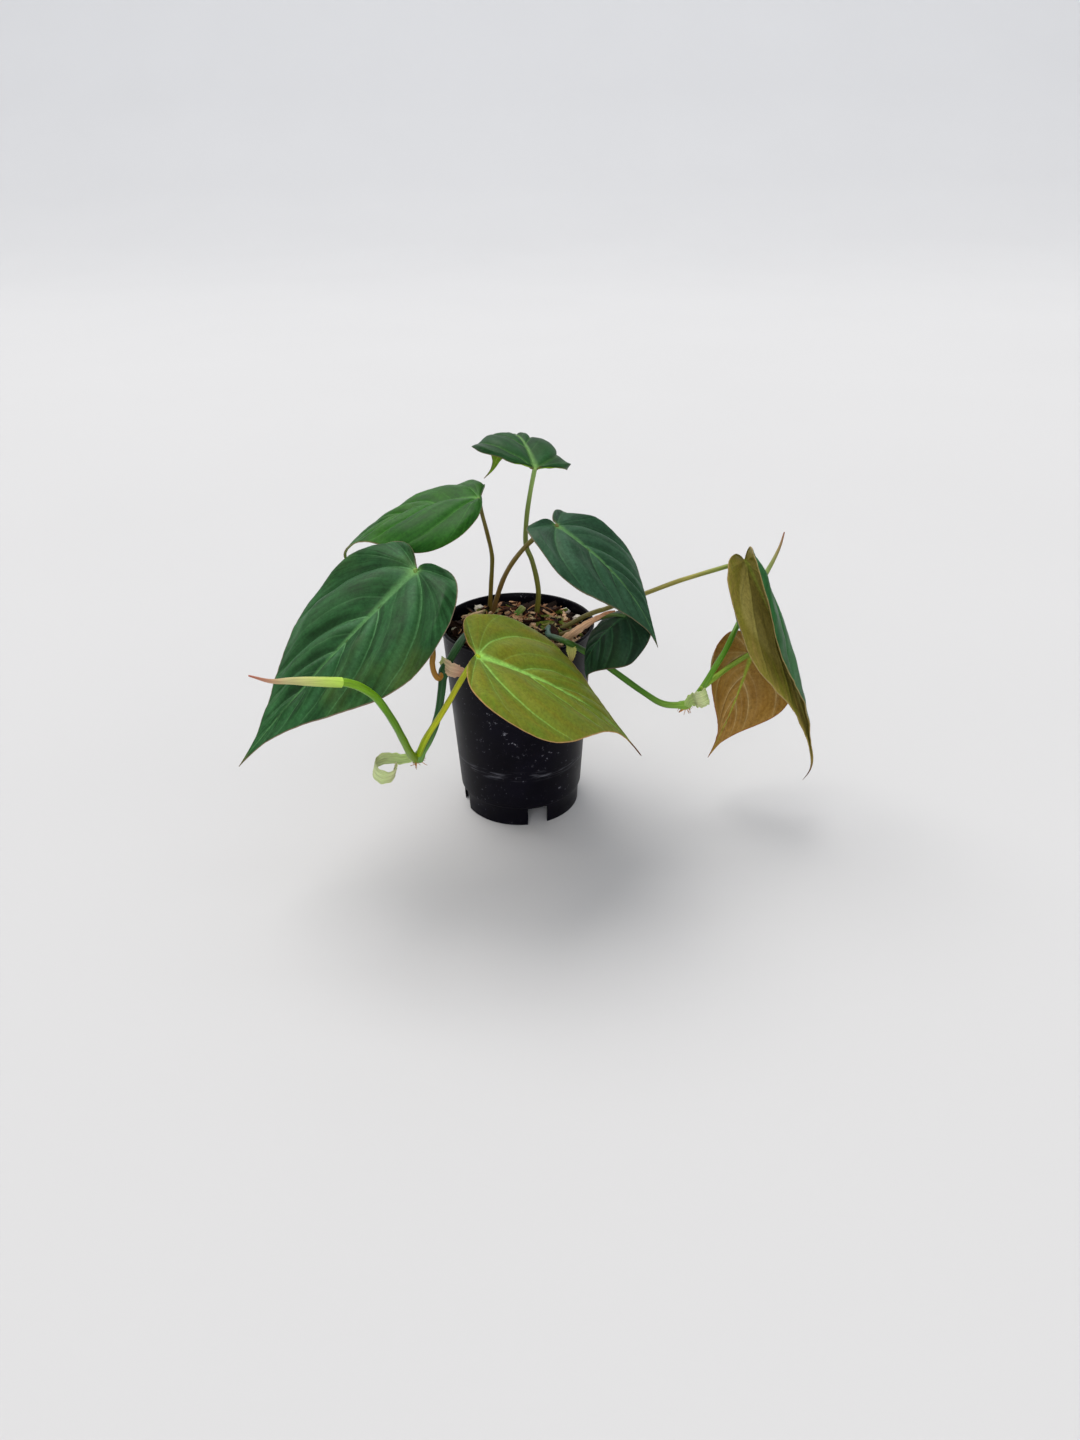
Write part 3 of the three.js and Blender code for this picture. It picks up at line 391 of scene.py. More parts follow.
browns = add_node(bark_mix, "ShaderNodeValToRGB", {0: mixed.outputs[0]})
browns.color_ramp.elements[0].color = linear("#160b06")
browns.color_ramp.elements[1].color = linear("#5f6e22")
for position, code in ((0.2, "#2c160c"), (0.36, "#623420"), (0.54, "#9a6642"), (0.72, "#cf9c72"), (0.88, "#ecc8a4")):
    browns.color_ramp.elements.new(position).color = linear(code)
lines = add_node(bark_mix, "ShaderNodeMapRange", {0: fibre.outputs[0], 1: 0.35, 2: 0.7, 3: 0.55, 4: 1.4})
lit = add_node(bark_mix, "ShaderNodeVectorMath", {0: browns.outputs[0], "Scale": lines.outputs[0]}, operation="SCALE")
rough_bark = add_node(bark_mix, "ShaderNodeBump", {"Height": fibre.outputs[0], "Strength": 0.5, "Distance": 0.0005})
shader.inputs["Roughness"].default_value = 0.86
shader.inputs["Specular IOR Level"].default_value = 0.2
plug(bark_mix, shader, Base_Color=lit.outputs[0], Normal=rough_bark.outputs[0])
mix.data.materials.append(bark_mix)


# Perlite. Volcanic glass popped like corn into white, foamy crumbs; they float up and lie on the mix.
PERLITE = [(22.4, 20.2, 2), (-18.4, 23, 2), (-3.4, 19.5, 1.7), (28, 10.6, 2), (-28.6, 2.5, 1.8)]

perlite_white, shader = new_material("expanded_perlite")
spot = add_node(perlite_white, "ShaderNodeTexCoord").outputs["Object"]
pores = add_node(perlite_white, "ShaderNodeTexVoronoi", {"Vector": spot, "Scale": 1500})
tint = add_node(perlite_white, "ShaderNodeTexNoise", {"Vector": spot, "Scale": 260, "Detail": 4})
chalk = add_node(perlite_white, "ShaderNodeMix", {0: tint.outputs[0], 6: linear("#faf6f0"), 7: linear("#d6c8b6")}, data_type="RGBA")
pitted = add_node(perlite_white, "ShaderNodeBump", {"Height": pores.outputs[0], "Strength": 0.7, "Distance": 0.0005})
shader.inputs["Roughness"].default_value = 0.9
plug(perlite_white, shader, Base_Color=chalk.outputs[2], Normal=pitted.outputs[0])
for i, (cx, cy, size) in enumerate(PERLITE):
    ball = bmesh.new()
    bmesh.ops.create_icosphere(ball, subdivisions=4, radius=1)
    points = []
    for vert in ball.verts:
        swell = size * (1 + 0.16 * math.sin(7 * vert.co.x + cx) * math.cos(6 * vert.co.y + cy))
        swell *= 1 + 0.14 * noise.fractal(vert.co * 2.4 + Vector((cx, cy, 0)), 1.0, 2.0, 4)
        points.append([1.15 * swell * vert.co.x, swell * vert.co.y, 0.9 * swell * vert.co.z])
    crumb_faces = [[v.index for v in face.verts] for face in ball.faces]
    ball.free()
    centre = [cx, cy, mix_height(cx, cy) + 0.45 * size]
    crumb = make_piece(f"perlite_crumb_{i + 1}", np.array(points) + centre, crumb_faces)
    crumb.data.materials.append(perlite_white)
    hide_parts(f"perlite_{i + 1}")


# Bark chunks. Pieces of composted pine bark too big to sink, split along their grain, lying flat.
BARK = [((15, 24), (6.5, 3.4, 2.2), 20), ((-5.4, 27), (9, 3.6, 1.7), -14), ((18.6, 13.4), (11.5, 2.2, 1.7), -4)]

chunk_bark, shader = new_material("split_pine_bark")
grain = add_node(chunk_bark, "ShaderNodeAttribute", attribute_name="grain").outputs["Vector"]
stretched = add_node(chunk_bark, "ShaderNodeMapping", {0: grain, 3: (0.35, 2.6, 2.6)})
rings = add_node(chunk_bark, "ShaderNodeTexNoise", {"Vector": stretched.outputs[0], "Scale": 1, "Detail": 6, "Roughness": 0.65})
weathered = add_node(chunk_bark, "ShaderNodeValToRGB", {0: rings.outputs[0]})
weathered.color_ramp.elements[0].position = 0.25
weathered.color_ramp.elements[0].color = linear("#4a2d20")
weathered.color_ramp.elements[1].position = 0.75
weathered.color_ramp.elements[1].color = linear("#d0a988")
weathered.color_ramp.elements.new(0.5).color = linear("#9a6c4c")
ridged = add_node(chunk_bark, "ShaderNodeBump", {"Height": rings.outputs[0], "Strength": 0.6, "Distance": 0.0006})
shader.inputs["Roughness"].default_value = 0.82
plug(chunk_bark, shader, Base_Color=weathered.outputs[0], Normal=ridged.outputs[0])
for i, ((cx, cy), size, turn) in enumerate(BARK):
    block = bmesh.new()
    bmesh.ops.create_cube(block, size=1)
    bmesh.ops.subdivide_edges(block, edges=block.edges, cuts=13, use_grid_fill=True)
    points, local = [], []
    for vert in block.verts:
        unit = 2 * vert.co
        rounded = unit * (1 - 0.09 * (unit.length_squared - 1) / 2)
        place = Vector([0.5 * s * r for s, r in zip(size, rounded)])
        place += Vector((0.7, 0.4, 0.25)) * noise.fractal(Vector((place.x * 0.3, place.y * 0.9, place.z * 0.9 + i)), 0.9, 2.0, 4)
        local.append(list(place))
        points.append(list(place))
    chunk_faces = [[v.index for v in face.verts] for face in block.faces]
    block.free()
    tilt = Matrix.Rotation(math.radians(turn), 3, "Z") @ Matrix.Rotation(0.12, 3, "Y") @ Matrix.Rotation(0.2, 3, "X")
    points = np.array(points) @ np.array(tilt).T + [cx, cy, mix_height(cx, cy) + 0.5]
    chunk = make_piece(f"bark_chunk_{i + 1}", points, chunk_faces, {"grain": np.array(local)})
    chunk.data.materials.append(chunk_bark)
    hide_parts(f"bark_{i + 1}")


# Stems. The vines, stalks and shoots of a young aroid: smooth, solid and fleshy, round in section,
# with faint lines along them. Each grows out of a node, a swollen ring marked by old leaf scars.
def stem_material(name, stops, gloss, streak=0.35):
    """A living stem: its colours in order from the root end to the far end, and its gloss."""
    material, shader = new_material(name)
    along = add_node(material, "ShaderNodeAttribute", attribute_name="along").outputs["Fac"]
    grain = add_node(material, "ShaderNodeAttribute", attribute_name="grain").outputs["Vector"]
    fibres = add_node(material, "ShaderNodeMapping", {0: grain, 3: (2.4, 2.4, 0.5)})
    lines = add_node(material, "ShaderNodeTexNoise", {"Vector": fibres.outputs[0], "Scale": 2.2, "Detail": 4})
    patches = add_node(material, "ShaderNodeTexNoise", {"Vector": grain, "Scale": 0.8, "Detail": 2})
    ramp = add_node(material, "ShaderNodeValToRGB", {0: along})
    ramp.color_ramp.elements[0].color = linear(stops[0])
    ramp.color_ramp.elements[1].color = linear(stops[-1])
    for k, code in enumerate(stops[1:-1]):
        ramp.color_ramp.elements.new((k + 1) / (len(stops) - 1)).color = linear(code)
    depth = add_node(material, "ShaderNodeMapRange", {0: lines.outputs[0], 1: 0.3, 2: 0.7, 3: 1 - streak, 4: 1 + streak})
    cloud = add_node(material, "ShaderNodeMapRange", {0: patches.outputs[0], 1: 0.3, 2: 0.7, 3: 0.86, 4: 1.14})
    shade = add_node(material, "ShaderNodeMath", {0: depth.outputs[0], 1: cloud.outputs[0]}, operation="MULTIPLY")
    skin = add_node(material, "ShaderNodeVectorMath", {0: ramp.outputs[0], "Scale": shade.outputs[0]}, operation="SCALE")
    ribbed = add_node(material, "ShaderNodeBump", {"Height": lines.outputs[0], "Strength": 0.25, "Distance": 0.0003})
    shader.inputs["Roughness"].default_value = gloss
    shader.inputs["IOR"].default_value = 1.42
    shader.inputs["Specular IOR Level"].default_value = 0.3
    plug(material, shader, Base_Color=skin.outputs[0], Normal=ribbed.outputs[0])
    return material


def ripples(size):
    """Faint ridges round and along a stem, in millimetres."""
    return lambda u, a: size * (np.sin(5 * a + 9 * u) * 0.6 + np.sin(31 * u + 2 * a)) * np.ones_like(u + a)


# A cut stub of an old stem, trimmed square; its end has dried tan
stub_places, stub_faces, stub_values = tube([(-3.6, 13.4, 84), (-2.1, 14, 88.4), (2.3, 15.5, 93.5)], [1.7, 1.6], 24, 40,
                                            ripples(0.04))
stub = make_piece("cut_stub", stub_places, stub_faces, stub_values)
stub.data.materials.append(stem_material("trimmed_stem", ["#2a4a18", "#3a6a1c", "#467a22", "#5f8a34", "#8f9858"], 0.5))
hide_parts("stem_stub")

# The two vines creep over the rim. Where they touched damp mix they put out short roots.
VINES = {
    "vine_left": {
        "through": [(-14.5, -4, 78), (-16.4, -9, 88), (-19, -15, 94.2), (-22.1, -22.3, 96.8), (-24.9, -33.6, 96.9),
                    (-27.8, -38.5, 93.4), (-30.5, -41.6, 89.2), (-31.7, -46, 81.5), (-33.7, -50, 71.8),
                    (-37.6, -53, 62.4), (-42.8, -55, 54.6)],
        "radii": [1.7, 1.65, 1.65, 1.7, 1.65, 1.7],
        "nodes": [(-30.4, -41.4, 89.6, 2.3), (-42.6, -54.9, 54.9, 2.6)],
        "nubs": [(-42, -54, 53), (-44.6, -56.6, 53.4), (-43.6, -53.6, 52.4)],
        "colours": ["#23452a", "#2c5634", "#2f5c34", "#2c5630", "#2f5c30", "#6f9a4c"],
    },
    "vine_right": {
        "through": [(18.6, 10, 80), (18, 6.5, 86), (15.2, 2, 89.6), (13.6, -3.5, 90.4), (14.4, -10, 90.6),
                    (16.6, -17, 93), (21.6, -29.4, 96.5), (29.6, -24.8, 89.7), (42.7, -23, 79), (56.2, -21.5, 67.6),
                    (66, -20, 60.6), (77, -17.5, 58.4)],
        "radii": [1.4, 1.35, 1.35, 1.35, 1.4, 1.5],
        "nodes": [(76, -17.6, 58.5, 2.2)],
        "nubs": [(73.4, -18.6, 55.4), (75.6, -16.4, 55.6)],
        "colours": ["#3a5548", "#55756a", "#34581e", "#386210", "#3e6a10", "#7aa03c"],
    },
}
root_tan = stem_material("dried_root", ["#c08a50", "#d0904c", "#9a6436"], 0.75)
for name, vine in VINES.items():
    middle, length = smooth_path(vine["through"], 200)
    bumps = []
    for *spot, radius in vine["nodes"]:
        nearest = np.argmin(np.linalg.norm(middle - spot, axis=1))
        bumps.append((nearest / 199, radius - np.interp(nearest / 199, np.linspace(0, 1, 6), vine["radii"])))

    def node_rings(u, a):
        grown = ripples(0.05)(u, a)
        for at, rise in bumps:
            away = (u - at) * length
            grown = grown + rise * np.exp(-(away / 2.3) ** 2) + 0.22 * np.exp(-((np.abs(away) - 2.1) / 0.4) ** 2)
        return grown

    places, faces, values = tube(vine["through"], vine["radii"], 28, 230, node_rings)
    stem = make_piece(f"{name}_stem", places, faces, values)
    stem.data.materials.append(stem_material(f"{name}_skin", vine["colours"], 0.42))
    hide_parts(name)
    *node_place, node_radius = vine["nodes"][-1]
    root_places, root_faces, root_values, count = [], [], {"along": [], "grain": []}, 0
    lines = [(tip, 0.85, 0.3) for tip in vine["nubs"]]
    for k in range(16):
        reach = rng.uniform(3.2, 5.6)
        heading = rng.uniform(0, 2 * math.pi)
        drop = rng.uniform(-0.95, -0.25)
        flat = math.sqrt(1 - drop * drop)
        aim = np.array([flat * math.cos(heading), flat * math.sin(heading), drop])
        lines.append((np.array(node_place) + aim * reach, rng.uniform(0.16, 0.3), 0.09))
    for tip, thick, thin in lines:
        start = np.array(node_place)
        bend = rng.normal(0, 0.35, 3)
        points, hair_faces, hair_values = tube([start, (start + np.array(tip)) / 2 + bend, np.array(tip)],
                                               [thick, 0.75 * thick, thin], 8, 14)
        root_places.append(points)
        root_faces += [tuple(count + i for i in face) for face in hair_faces]
        for label in root_values:
            root_values[label].append(hair_values[label])
        count += len(points)
    roots = make_piece(f"{name}_roots", np.vstack(root_places), root_faces,
                       {"along": np.concatenate(root_values["along"]), "grain": np.vstack(root_values["grain"])})
    roots.data.materials.append(root_tan)

# New shoots. This season's growth at each vine's last node, brighter, juicier and glossier.
SHOOTS = {
    "shoot_left_stem": {
        "through": [(-43.4, -55, 54), (-44.8, -61, 61), (-45.7, -70, 72.6), (-47.4, -81, 87.7), (-51, -89.5, 101.9),
                    (-55.2, -94.5, 109.3), (-59.5, -98, 113.3), (-62.5, -100, 114.8)],
        "radii": [1.75, 1.6, 1.5, 1.5, 1.6],
        "colours": ["#7a9420", "#648a08", "#568406", "#5a8c08", "#74a01c"],
    },
    "shoot_right_stem": {
        "through": [(78.6, -17.4, 59.4), (84, -16, 66.9), (88.9, -12, 73.6), (94.4, -7.5, 81), (99.4, -2, 89),
                    (107.9, 12, 96.5)],
        "radii": [1.5, 1.35, 1.25, 1.3],
        "colours": ["#7aa438", "#5a8a20", "#4c7c18", "#547e20", "#6f8e3c"],
    },
}
for name, shoot in SHOOTS.items():
    places, faces, values = tube(shoot["through"], shoot["radii"], 28, 120, ripples(0.035))
    stem = make_piece(f"{name}_fresh", places, faces, values)
    stem.data.materials.append(stem_material(f"{name}_skin", shoot["colours"], 0.34, 0.22))
    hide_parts(name)


# Leaf blades. Each is one thin heart of leaf tissue with a velvety upper skin of tiny domed cells,
# sunken veins and a pale midrib; it hangs from its stalk at the notch and droops to a drip tip.
BLADES = {
    "top": {
        "at": (8.9, 18, 158.3), "heading": 105, "pitch": 29, "roll": 11,
        "length": 69, "half_width": 24, "lobe": 0.5, "widest": 0.28, "tail": 0.16,
        "droop": 146, "droop_power": 1.7, "side": 2, "twist": -24, "hook": (0.8, 29, -42), "ruffle": (0.8, 9.0),
        "fold": (27, 27), "fold_change": (-34, -70), "curl": (-44, -81),
    },
    "back_left": {
        "at": (-15.9, 12, 147), "heading": 180, "pitch": 0, "roll": -10,
        "length": 77, "half_width": 35, "lobe": 2.2, "widest": 0.27, "tail": 0.13,
        "droop": 47, "droop_power": 0.9, "side": -3, "twist": 5, "hook": (0.84, 0, 75),
        "fold": (32, 6), "fold_change": (-13, -4), "curl": (-77, -48),
    },
    "large_left": {
        "at": (-39.9, -36, 132.8), "heading": 213, "pitch": -34, "roll": 2,
        "length": 106, "half_width": 39.5, "lobe": 7, "widest": 0.3, "tail": 0.13,
        "droop": 9, "droop_power": 1.4, "side": -1, "twist": -3,
        "fold": (-4, 11), "fold_change": (-9, 1), "curl": (-13, -14), "quilting": 0.13,
    },
    "front": {
        "at": (-14.2, -67, 108.6), "heading": 12, "pitch": -27, "roll": 19,
        "length": 92.5, "half_width": 35, "lobe": 6, "widest": 0.26, "tail": 0.16,
        "droop": 32, "droop_power": 1.5, "side": -4, "twist": 1,
        "fold": (0, 13), "fold_change": (1, -3), "curl": (-11, -20),
        "nips": ((1, 3.5, 0.62, 0.86), (-1, 3.5, 0.62, 0.86)), "quilting": 0.06,
    },
    "right_centre": {
        "at": (17.8, -19, 144.8), "heading": -31, "pitch": -25, "roll": 8,
        "length": 68, "half_width": 25, "lobe": 7, "widest": 0.285, "tail": 0.13,
        "droop": 48, "droop_power": 1.4, "side": 0, "twist": 7, "nips": ((1, 2.78, 0.22, 0.2),), "ruffle": (1.1, 6.5), "quilting": 0.11,
        "fold": (-11, 7), "fold_change": (2, -8), "curl": (-7, 5),
    },
    "small_dark": {
        "at": (46.2, -29.5, 108.3), "heading": 210, "pitch": -22, "roll": -14,
        "length": 38, "half_width": 18.5, "lobe": 5.5, "widest": 0.31, "tail": 0.13,
        "droop": 102, "droop_power": 1.35, "side": -3, "twist": -3,
        "fold": (-4, -27), "fold_change": (1, 0), "curl": (-18, -30), "quilting": 0.07,
    },
    "far_right": {
        "at": (101.3, -2, 121.6), "heading": -2, "pitch": -62, "roll": -81,
        "length": 114, "half_width": 34, "lobe": 10, "widest": 0.24, "tail": 0.16,
        "droop": 31, "droop_power": 1.4, "side": 12, "twist": 5, "hook": (0.82, 40, -40),
        "fold": (-84, -50), "fold_change": (-8, -15), "curl": (21, -58), "quilting": 0.03,
    },
    "bronze": {
        "at": (110.3, 9, 71.8), "heading": 221, "pitch": -69, "roll": 120,
        "length": 56, "half_width": 24.5, "lobe": 9, "widest": 0.25, "tail": 0.16,
        "droop": -9, "droop_power": 1.4, "side": 7, "twist": -27,
        "fold": (-4, -28), "fold_change": (-28, -6), "curl": (-22, -33),
    },
}
BLADE_THICKNESS = 0.55
LOBE_VEINS = (0.6, 1.2)
FAN_VEIN_EDGES = (0.2, 0.46)
SIDE_VEIN_STARTS = (0.1, 0.2, 0.29, 0.38, 0.48, 0.58, 0.75)
VEIN_STRENGTH = (0.0, 0.35, 0.6, 0.3, 1.0, 0.22, 0.95, 0.22, 0.85, 0.22, 0.7, 0.5, 0.0)
FAN_END = 0.48
ROWS_BETWEEN_VEINS = 12
COLUMNS = np.array([0, 0.006, 0.014, 0.025, 0.04, 0.06, 0.085, 0.115, 0.15, 0.19, 0.235, 0.285, 0.34, 0.4, 0.46, 0.52,
                    0.58, 0.64, 0.7, 0.755, 0.805, 0.85, 0.89, 0.925, 0.955, 0.98, 1])


def smoothstep(low, high, value):
    share = np.clip((value - low) / (high - low), 0, 1)
    return share * share * (3 - 2 * share)


def margin_point(blade, q):
    """The margin of half a blade laid flat, from the notch at 0 to the drip tip at 4."""
    half, lobe, length = blade["half_width"], blade["lobe"], blade["length"]
    tail = blade["tail"] * length
    notch, rear = np.array([-0.3, 0]), np.array([-lobe, 0.43 * half])
    side, neck = np.array([blade["widest"] * length, half]), np.array([length - tail, 0.07 * half + 0.3])
    tip = np.array([length, 0])
    reach = neck[0] - side[0]
    pieces = [
        (notch, notch + [-0.35 * lobe, 0.1 * half], rear + [0, -0.24 * half], rear),
        (rear, rear + [0, 0.36 * half], side + [-0.52 * (side[0] - rear[0]), 0], side),
        (side, side + [0.36 * reach, 0], neck + [-0.42 * reach, 0.3 * half], neck),
        (neck, neck + [0.3 * tail, -0.035 * half], tip + [-0.3 * tail, 0.012 * half], tip),
    ]
    q = np.clip(np.asarray(q, float), 0, 4)
    which = np.minimum(q.astype(int), 3)
    t = (q - which)[:, None]
    a, b, c, d = (np.array([piece[k] for piece in pieces])[which] for k in range(4))
    return a * (1 - t) ** 3 + 3 * b * t * (1 - t) ** 2 + 3 * c * t ** 2 * (1 - t) + d * t ** 3


def vein_start(blade, edge_x):
    """Where on the midrib the side vein that ends at this part of the margin begins."""
    share = np.clip((edge_x / blade["length"] - FAN_END) / (1 - FAN_END), 0, 1)
    return blade["length"] * share ** 1.4


def midrib_frame(blade, x):
    """Places on the bent midrib, with the directions beside it and out of the upper face."""
    heading, pitch, roll = (math.radians(blade[k]) for k in ("heading", "pitch", "roll"))
    ahead = Vector((math.cos(pitch) * math.cos(heading), math.cos(pitch) * math.sin(heading), math.sin(pitch)))
    level = Vector((-math.sin(heading), math.cos(heading), 0))
    left = np.array(Matrix.Rotation(roll, 3, ahead) @ level)
    ahead = np.array(ahead)
    up = np.cross(ahead, left)

    def turned_to(along):
        share = np.clip(np.asarray(along, float) / blade["length"], 0, 1)
        hook_from, hook_side, hook_droop = blade.get("hook", (0.8, 0, 0))
        hooked = smoothstep(hook_from, 1, share)
        droop = np.radians(blade["droop"] * share ** blade["droop_power"] + hook_droop * hooked)
        side = np.radians(blade["side"] * share ** 1.3 + hook_side * hooked)
        twist = np.radians(blade["twist"]) * share
        droop, side, twist = droop[:, None], side[:, None], twist[:, None]
        down = ahead * np.cos(droop) - up * np.sin(droop)
        out = up * np.cos(droop) + ahead * np.sin(droop)
        on = down * np.cos(side) + left * np.sin(side)
        beside = left * np.cos(side) - down * np.sin(side)
        return on, beside * np.cos(twist) + out * np.sin(twist), out * np.cos(twist) - beside * np.sin(twist)

    steps = 160
    pace = blade["length"] / steps
    walked = np.vstack([[0, 0, 0], np.cumsum(turned_to((np.arange(steps) + 0.5) * pace)[0] * pace, axis=0)])
    on, beside, out = turned_to(x)
    place = np.stack([np.interp(np.clip(x, 0, None), np.arange(steps + 1) * pace, walked[:, k]) for k in range(3)], axis=1)
    return np.array(blade["at"]) + place + on * np.clip(x, None, 0)[:, None], beside, out


def blade_surface(blade, side, x, y):
    """Places on one half of the curled blade and the directions out of its upper face."""
    half = 0 if side > 0 else 1
    share = np.clip(x / blade["length"], 0, 1)
    fold = np.radians(blade["fold"][half] + blade["fold_change"][half] * share)
    bend = math.radians(blade["curl"][half]) / blade["half_width"]
    angle = fold + bend * y
    away = (np.sin(angle) - np.sin(fold)) / bend
    rise = (np.cos(fold) - np.cos(angle)) / bend
    place, beside, up = midrib_frame(blade, x)
    lean = angle * smoothstep(0, 1.5, y)
    return (place + beside * (side * away)[:, None] + up * rise[:, None],
            up * np.cos(lean)[:, None] - beside * (side * np.sin(lean))[:, None])


def blade_half(blade, side, seed):
    """One half of a blade: rows that follow the side veins, closely spaced where a vein is sunken."""
    probe = np.linspace(1, 4, 600)
    edges = margin_point(blade, probe)[:, 0] / blade["length"]
    starts = vein_start(blade, blade["length"] * edges) / blade["length"]
    fan = np.interp(FAN_VEIN_EDGES, edges, probe)
    branches = np.interp(np.array(SIDE_VEIN_STARTS) + (0 if side > 0 else 0.05), starts, probe)
    veins = np.array([0.0, *LOBE_VEINS, *fan, *branches, 4.0])
    strength = np.array(VEIN_STRENGTH)
    ease = 0.5 - 0.5 * np.cos(np.pi * np.arange(ROWS_BETWEEN_VEINS) / ROWS_BETWEEN_VEINS)
    q = np.append((veins[:-1, None] + np.diff(veins)[:, None] * ease).ravel(), 4.0)
    gap = np.append(np.repeat(np.arange(len(veins) - 1), ROWS_BETWEEN_VEINS), len(veins) - 2)
    edge = margin_point(blade, q)
    for nipped, middle_q, reach_q, share in blade.get("nips", ()):
        if nipped == side:
            edge[:, 1] *= 1 - share * np.exp(-((q - middle_q) / reach_q) ** 2)
    start = np.column_stack([vein_start(blade, edge[:, 0]), np.zeros(len(q))])
    span = np.linalg.norm(edge - start, axis=1)
    straight = (start + edge) / 2
    straight[:, 0] -= 0.19 * span * np.clip(q / 2.4, 0, 1)
    ahead, aside = np.interp(q, [2.2, 2.9], [0.2, 0.4]), np.interp(q, [2.0, 2.3, 3.0], [0.9, 0.96, 1.16])
    arched = start + (edge - start) * np.column_stack([ahead, aside])
    middle = straight + (arched - straight) * smoothstep(1.0, 2.0, q)[:, None]
    t = COLUMNS[None, :, None]
    flat = start[:, None] * (1 - t) ** 2 + 2 * middle[:, None] * t * (1 - t) + edge[:, None] * t ** 2
    x, y = flat[..., 0], flat[..., 1]
    along = np.clip(x / blade["length"], 0, 1)
    size = blade["length"] / 100

    vein_rows = np.array([np.argmin(abs(q - v)) for v in veins])
    to_before = 0.85 * np.linalg.norm(flat - flat[vein_rows[gap]], axis=2)
    to_after = 0.85 * np.linalg.norm(flat - flat[vein_rows[gap + 1]], axis=2)
    fade = (1 - 0.75 * COLUMNS[None, :] ** 1.6) * (1 - 0.6 * smoothstep(0.5, 0.95, along))
    halo, sunk = 0, 0
    for far, power in ((to_before, strength[gap]), (to_after, strength[gap + 1])):
        power = power[:, None] * fade
        halo = np.maximum(halo, power * np.exp(-(far / 1.6) ** 2))
        sunk = np.maximum(sunk, power * np.exp(-(far / 0.75) ** 2))
    # Painted shade: a darker band on the side of each vein toward the leaf's base, where the puffed tissue slopes down
    # away from the light.
    painted_shade = strength[gap + 1][:, None] * fade * np.exp(-((to_after - 1.7) / 1.5) ** 2)
    # Painted highlight: a lighter band on the side of each vein toward the tip, where the puffed tissue rises to face
    # the light.
    painted_highlight = strength[gap][:, None] * fade * np.exp(-((to_before - 2.6) / 2.0) ** 2)
    nearer = to_before < to_after
    vein_away = np.where(nearer, to_before, to_after)
    vein_power = np.where(nearer, strength[gap][:, None], strength[gap + 1][:, None]) * fade
    rib = (2.0 * np.exp(-along / 0.2) + 0.75 * (1 - along)) * size + 0.15
    rib_away = np.clip(y / rib * np.where(x < 0, 1 + (x / (2.2 * size)) ** 2, 1), 0, 3)
    hub = np.exp(-(x ** 2 + y ** 2) / (2.6 * size) ** 2)

    main = np.flatnonzero((strength >= 0.5) | (np.arange(len(veins)) % (len(veins) - 1) == 0))
    bay = np.clip(np.searchsorted(veins[main], q, side="right") - 1, 0, len(main) - 2)
    phase = (q - veins[main[bay]]) / (veins[main[bay + 1]] - veins[main[bay]])
    between = np.linalg.norm(flat[vein_rows[main[bay]]] - flat[vein_rows[main[bay + 1]]], axis=2)
    puff = blade.get("quilting", 0.09) * between * 4 * (phase * (1 - phase))[:, None]
    puff *= smoothstep(0, 0.26, COLUMNS)[None, :] * (1 - smoothstep(0.7, 1.0, COLUMNS))[None, :]
    puff *= 1 - smoothstep(0.55, 0.85, along)
    crinkle = [noise.noise(Vector((0.11 * a, 0.16 * b, seed))) + 0.35 * noise.noise(Vector((0.33 * a, 0.45 * b, seed)))
               for a, b in zip(x.ravel(), side * y.ravel())]
    crinkle = np.reshape(crinkle, x.shape) * (1 - smoothstep(0.75, 0.95, along)) * smoothstep(0, 0.15, COLUMNS)[None, :]
    ruffle, waves = blade.get("ruffle", (0.4, 5.3))
    sway = ruffle * np.sin(q * waves + 2 * side)[:, None] * smoothstep(0.4, 1, COLUMNS)[None, :]
    sway = size * (sway * (1 - smoothstep(0.6, 0.85, along)) + 0.55 * crinkle)
    lift = puff - 0.34 * sunk - 0.5 * size * np.exp(-(rib_away / 0.7) ** 2) * (1 - along) + sway
    to_margin = (1 - COLUMNS[None, :]) * span[:, None] * 0.85
    thin = BLADE_THICKNESS / 2 * (0.5 + 0.5 * smoothstep(0, 0.9, to_margin))
    under = puff - 0.1 * sunk + sway
    keel = 0.75 * size * np.exp(-(rib_away / 0.65) ** 2) * (1 - along) ** 0.8 + 0.22 * sunk
    place, normal = blade_surface(blade, side, x.ravel(), y.ravel())
    upper = place + normal * (lift + thin).ravel()[:, None]
    lower = place + normal * (under - thin - keel).ravel()[:, None]
    shape = flat.shape[:2]
    grain = np.dstack([3.2 * q[:, None] + 0 * x, COLUMNS[None, :] + 0 * x, np.full(shape, side * 3.0)])
    values = {
        "vein_away": vein_away, "vein_power": vein_power, "halo": halo, "painted_shade": painted_shade, "painted_highlight": painted_highlight, "rib_away": rib_away,
        "hub": hub, "margin": to_margin, "along": along, "grain": grain,
    }
    rows, columns = shape
    outer = upper.reshape(rows, columns, 3)[:, -1], lower.reshape(rows, columns, 3)[:, -1]
    inner = upper.reshape(rows, columns, 3)[:, -2]
    lip = (outer[0] + outer[1]) / 2 + 0.11 * (outer[0] - inner) / (np.linalg.norm(outer[0] - inner, axis=1)[:, None] + 1e-6)
    places = np.vstack([upper, lower, lip])
    flipped = [tuple(reversed(face)) for face in grid_faces(rows, columns, rows * columns)]
    top_faces = grid_faces(rows, columns)
    rim = []
    lip_at = 2 * rows * columns
    for r in range(rows - 1):
        a, b = r * columns + columns - 1, (r + 1) * columns + columns - 1
        rim.append((a, b, lip_at + r + 1, lip_at + r))
        rim.append((lip_at + r, lip_at + r + 1, rows * columns + b, rows * columns + a))
    stored = {}
    for label, value in values.items():
        flatter = value.reshape(rows * columns, -1)
        stored[label] = np.vstack([flatter, flatter, value[:, -1].reshape(rows, -1)])
    stored["underside"] = np.concatenate([np.zeros(rows * columns), np.ones(rows * columns), np.full(rows, 0.5)])[:, None]
    return places, top_faces + flipped + rim, stored


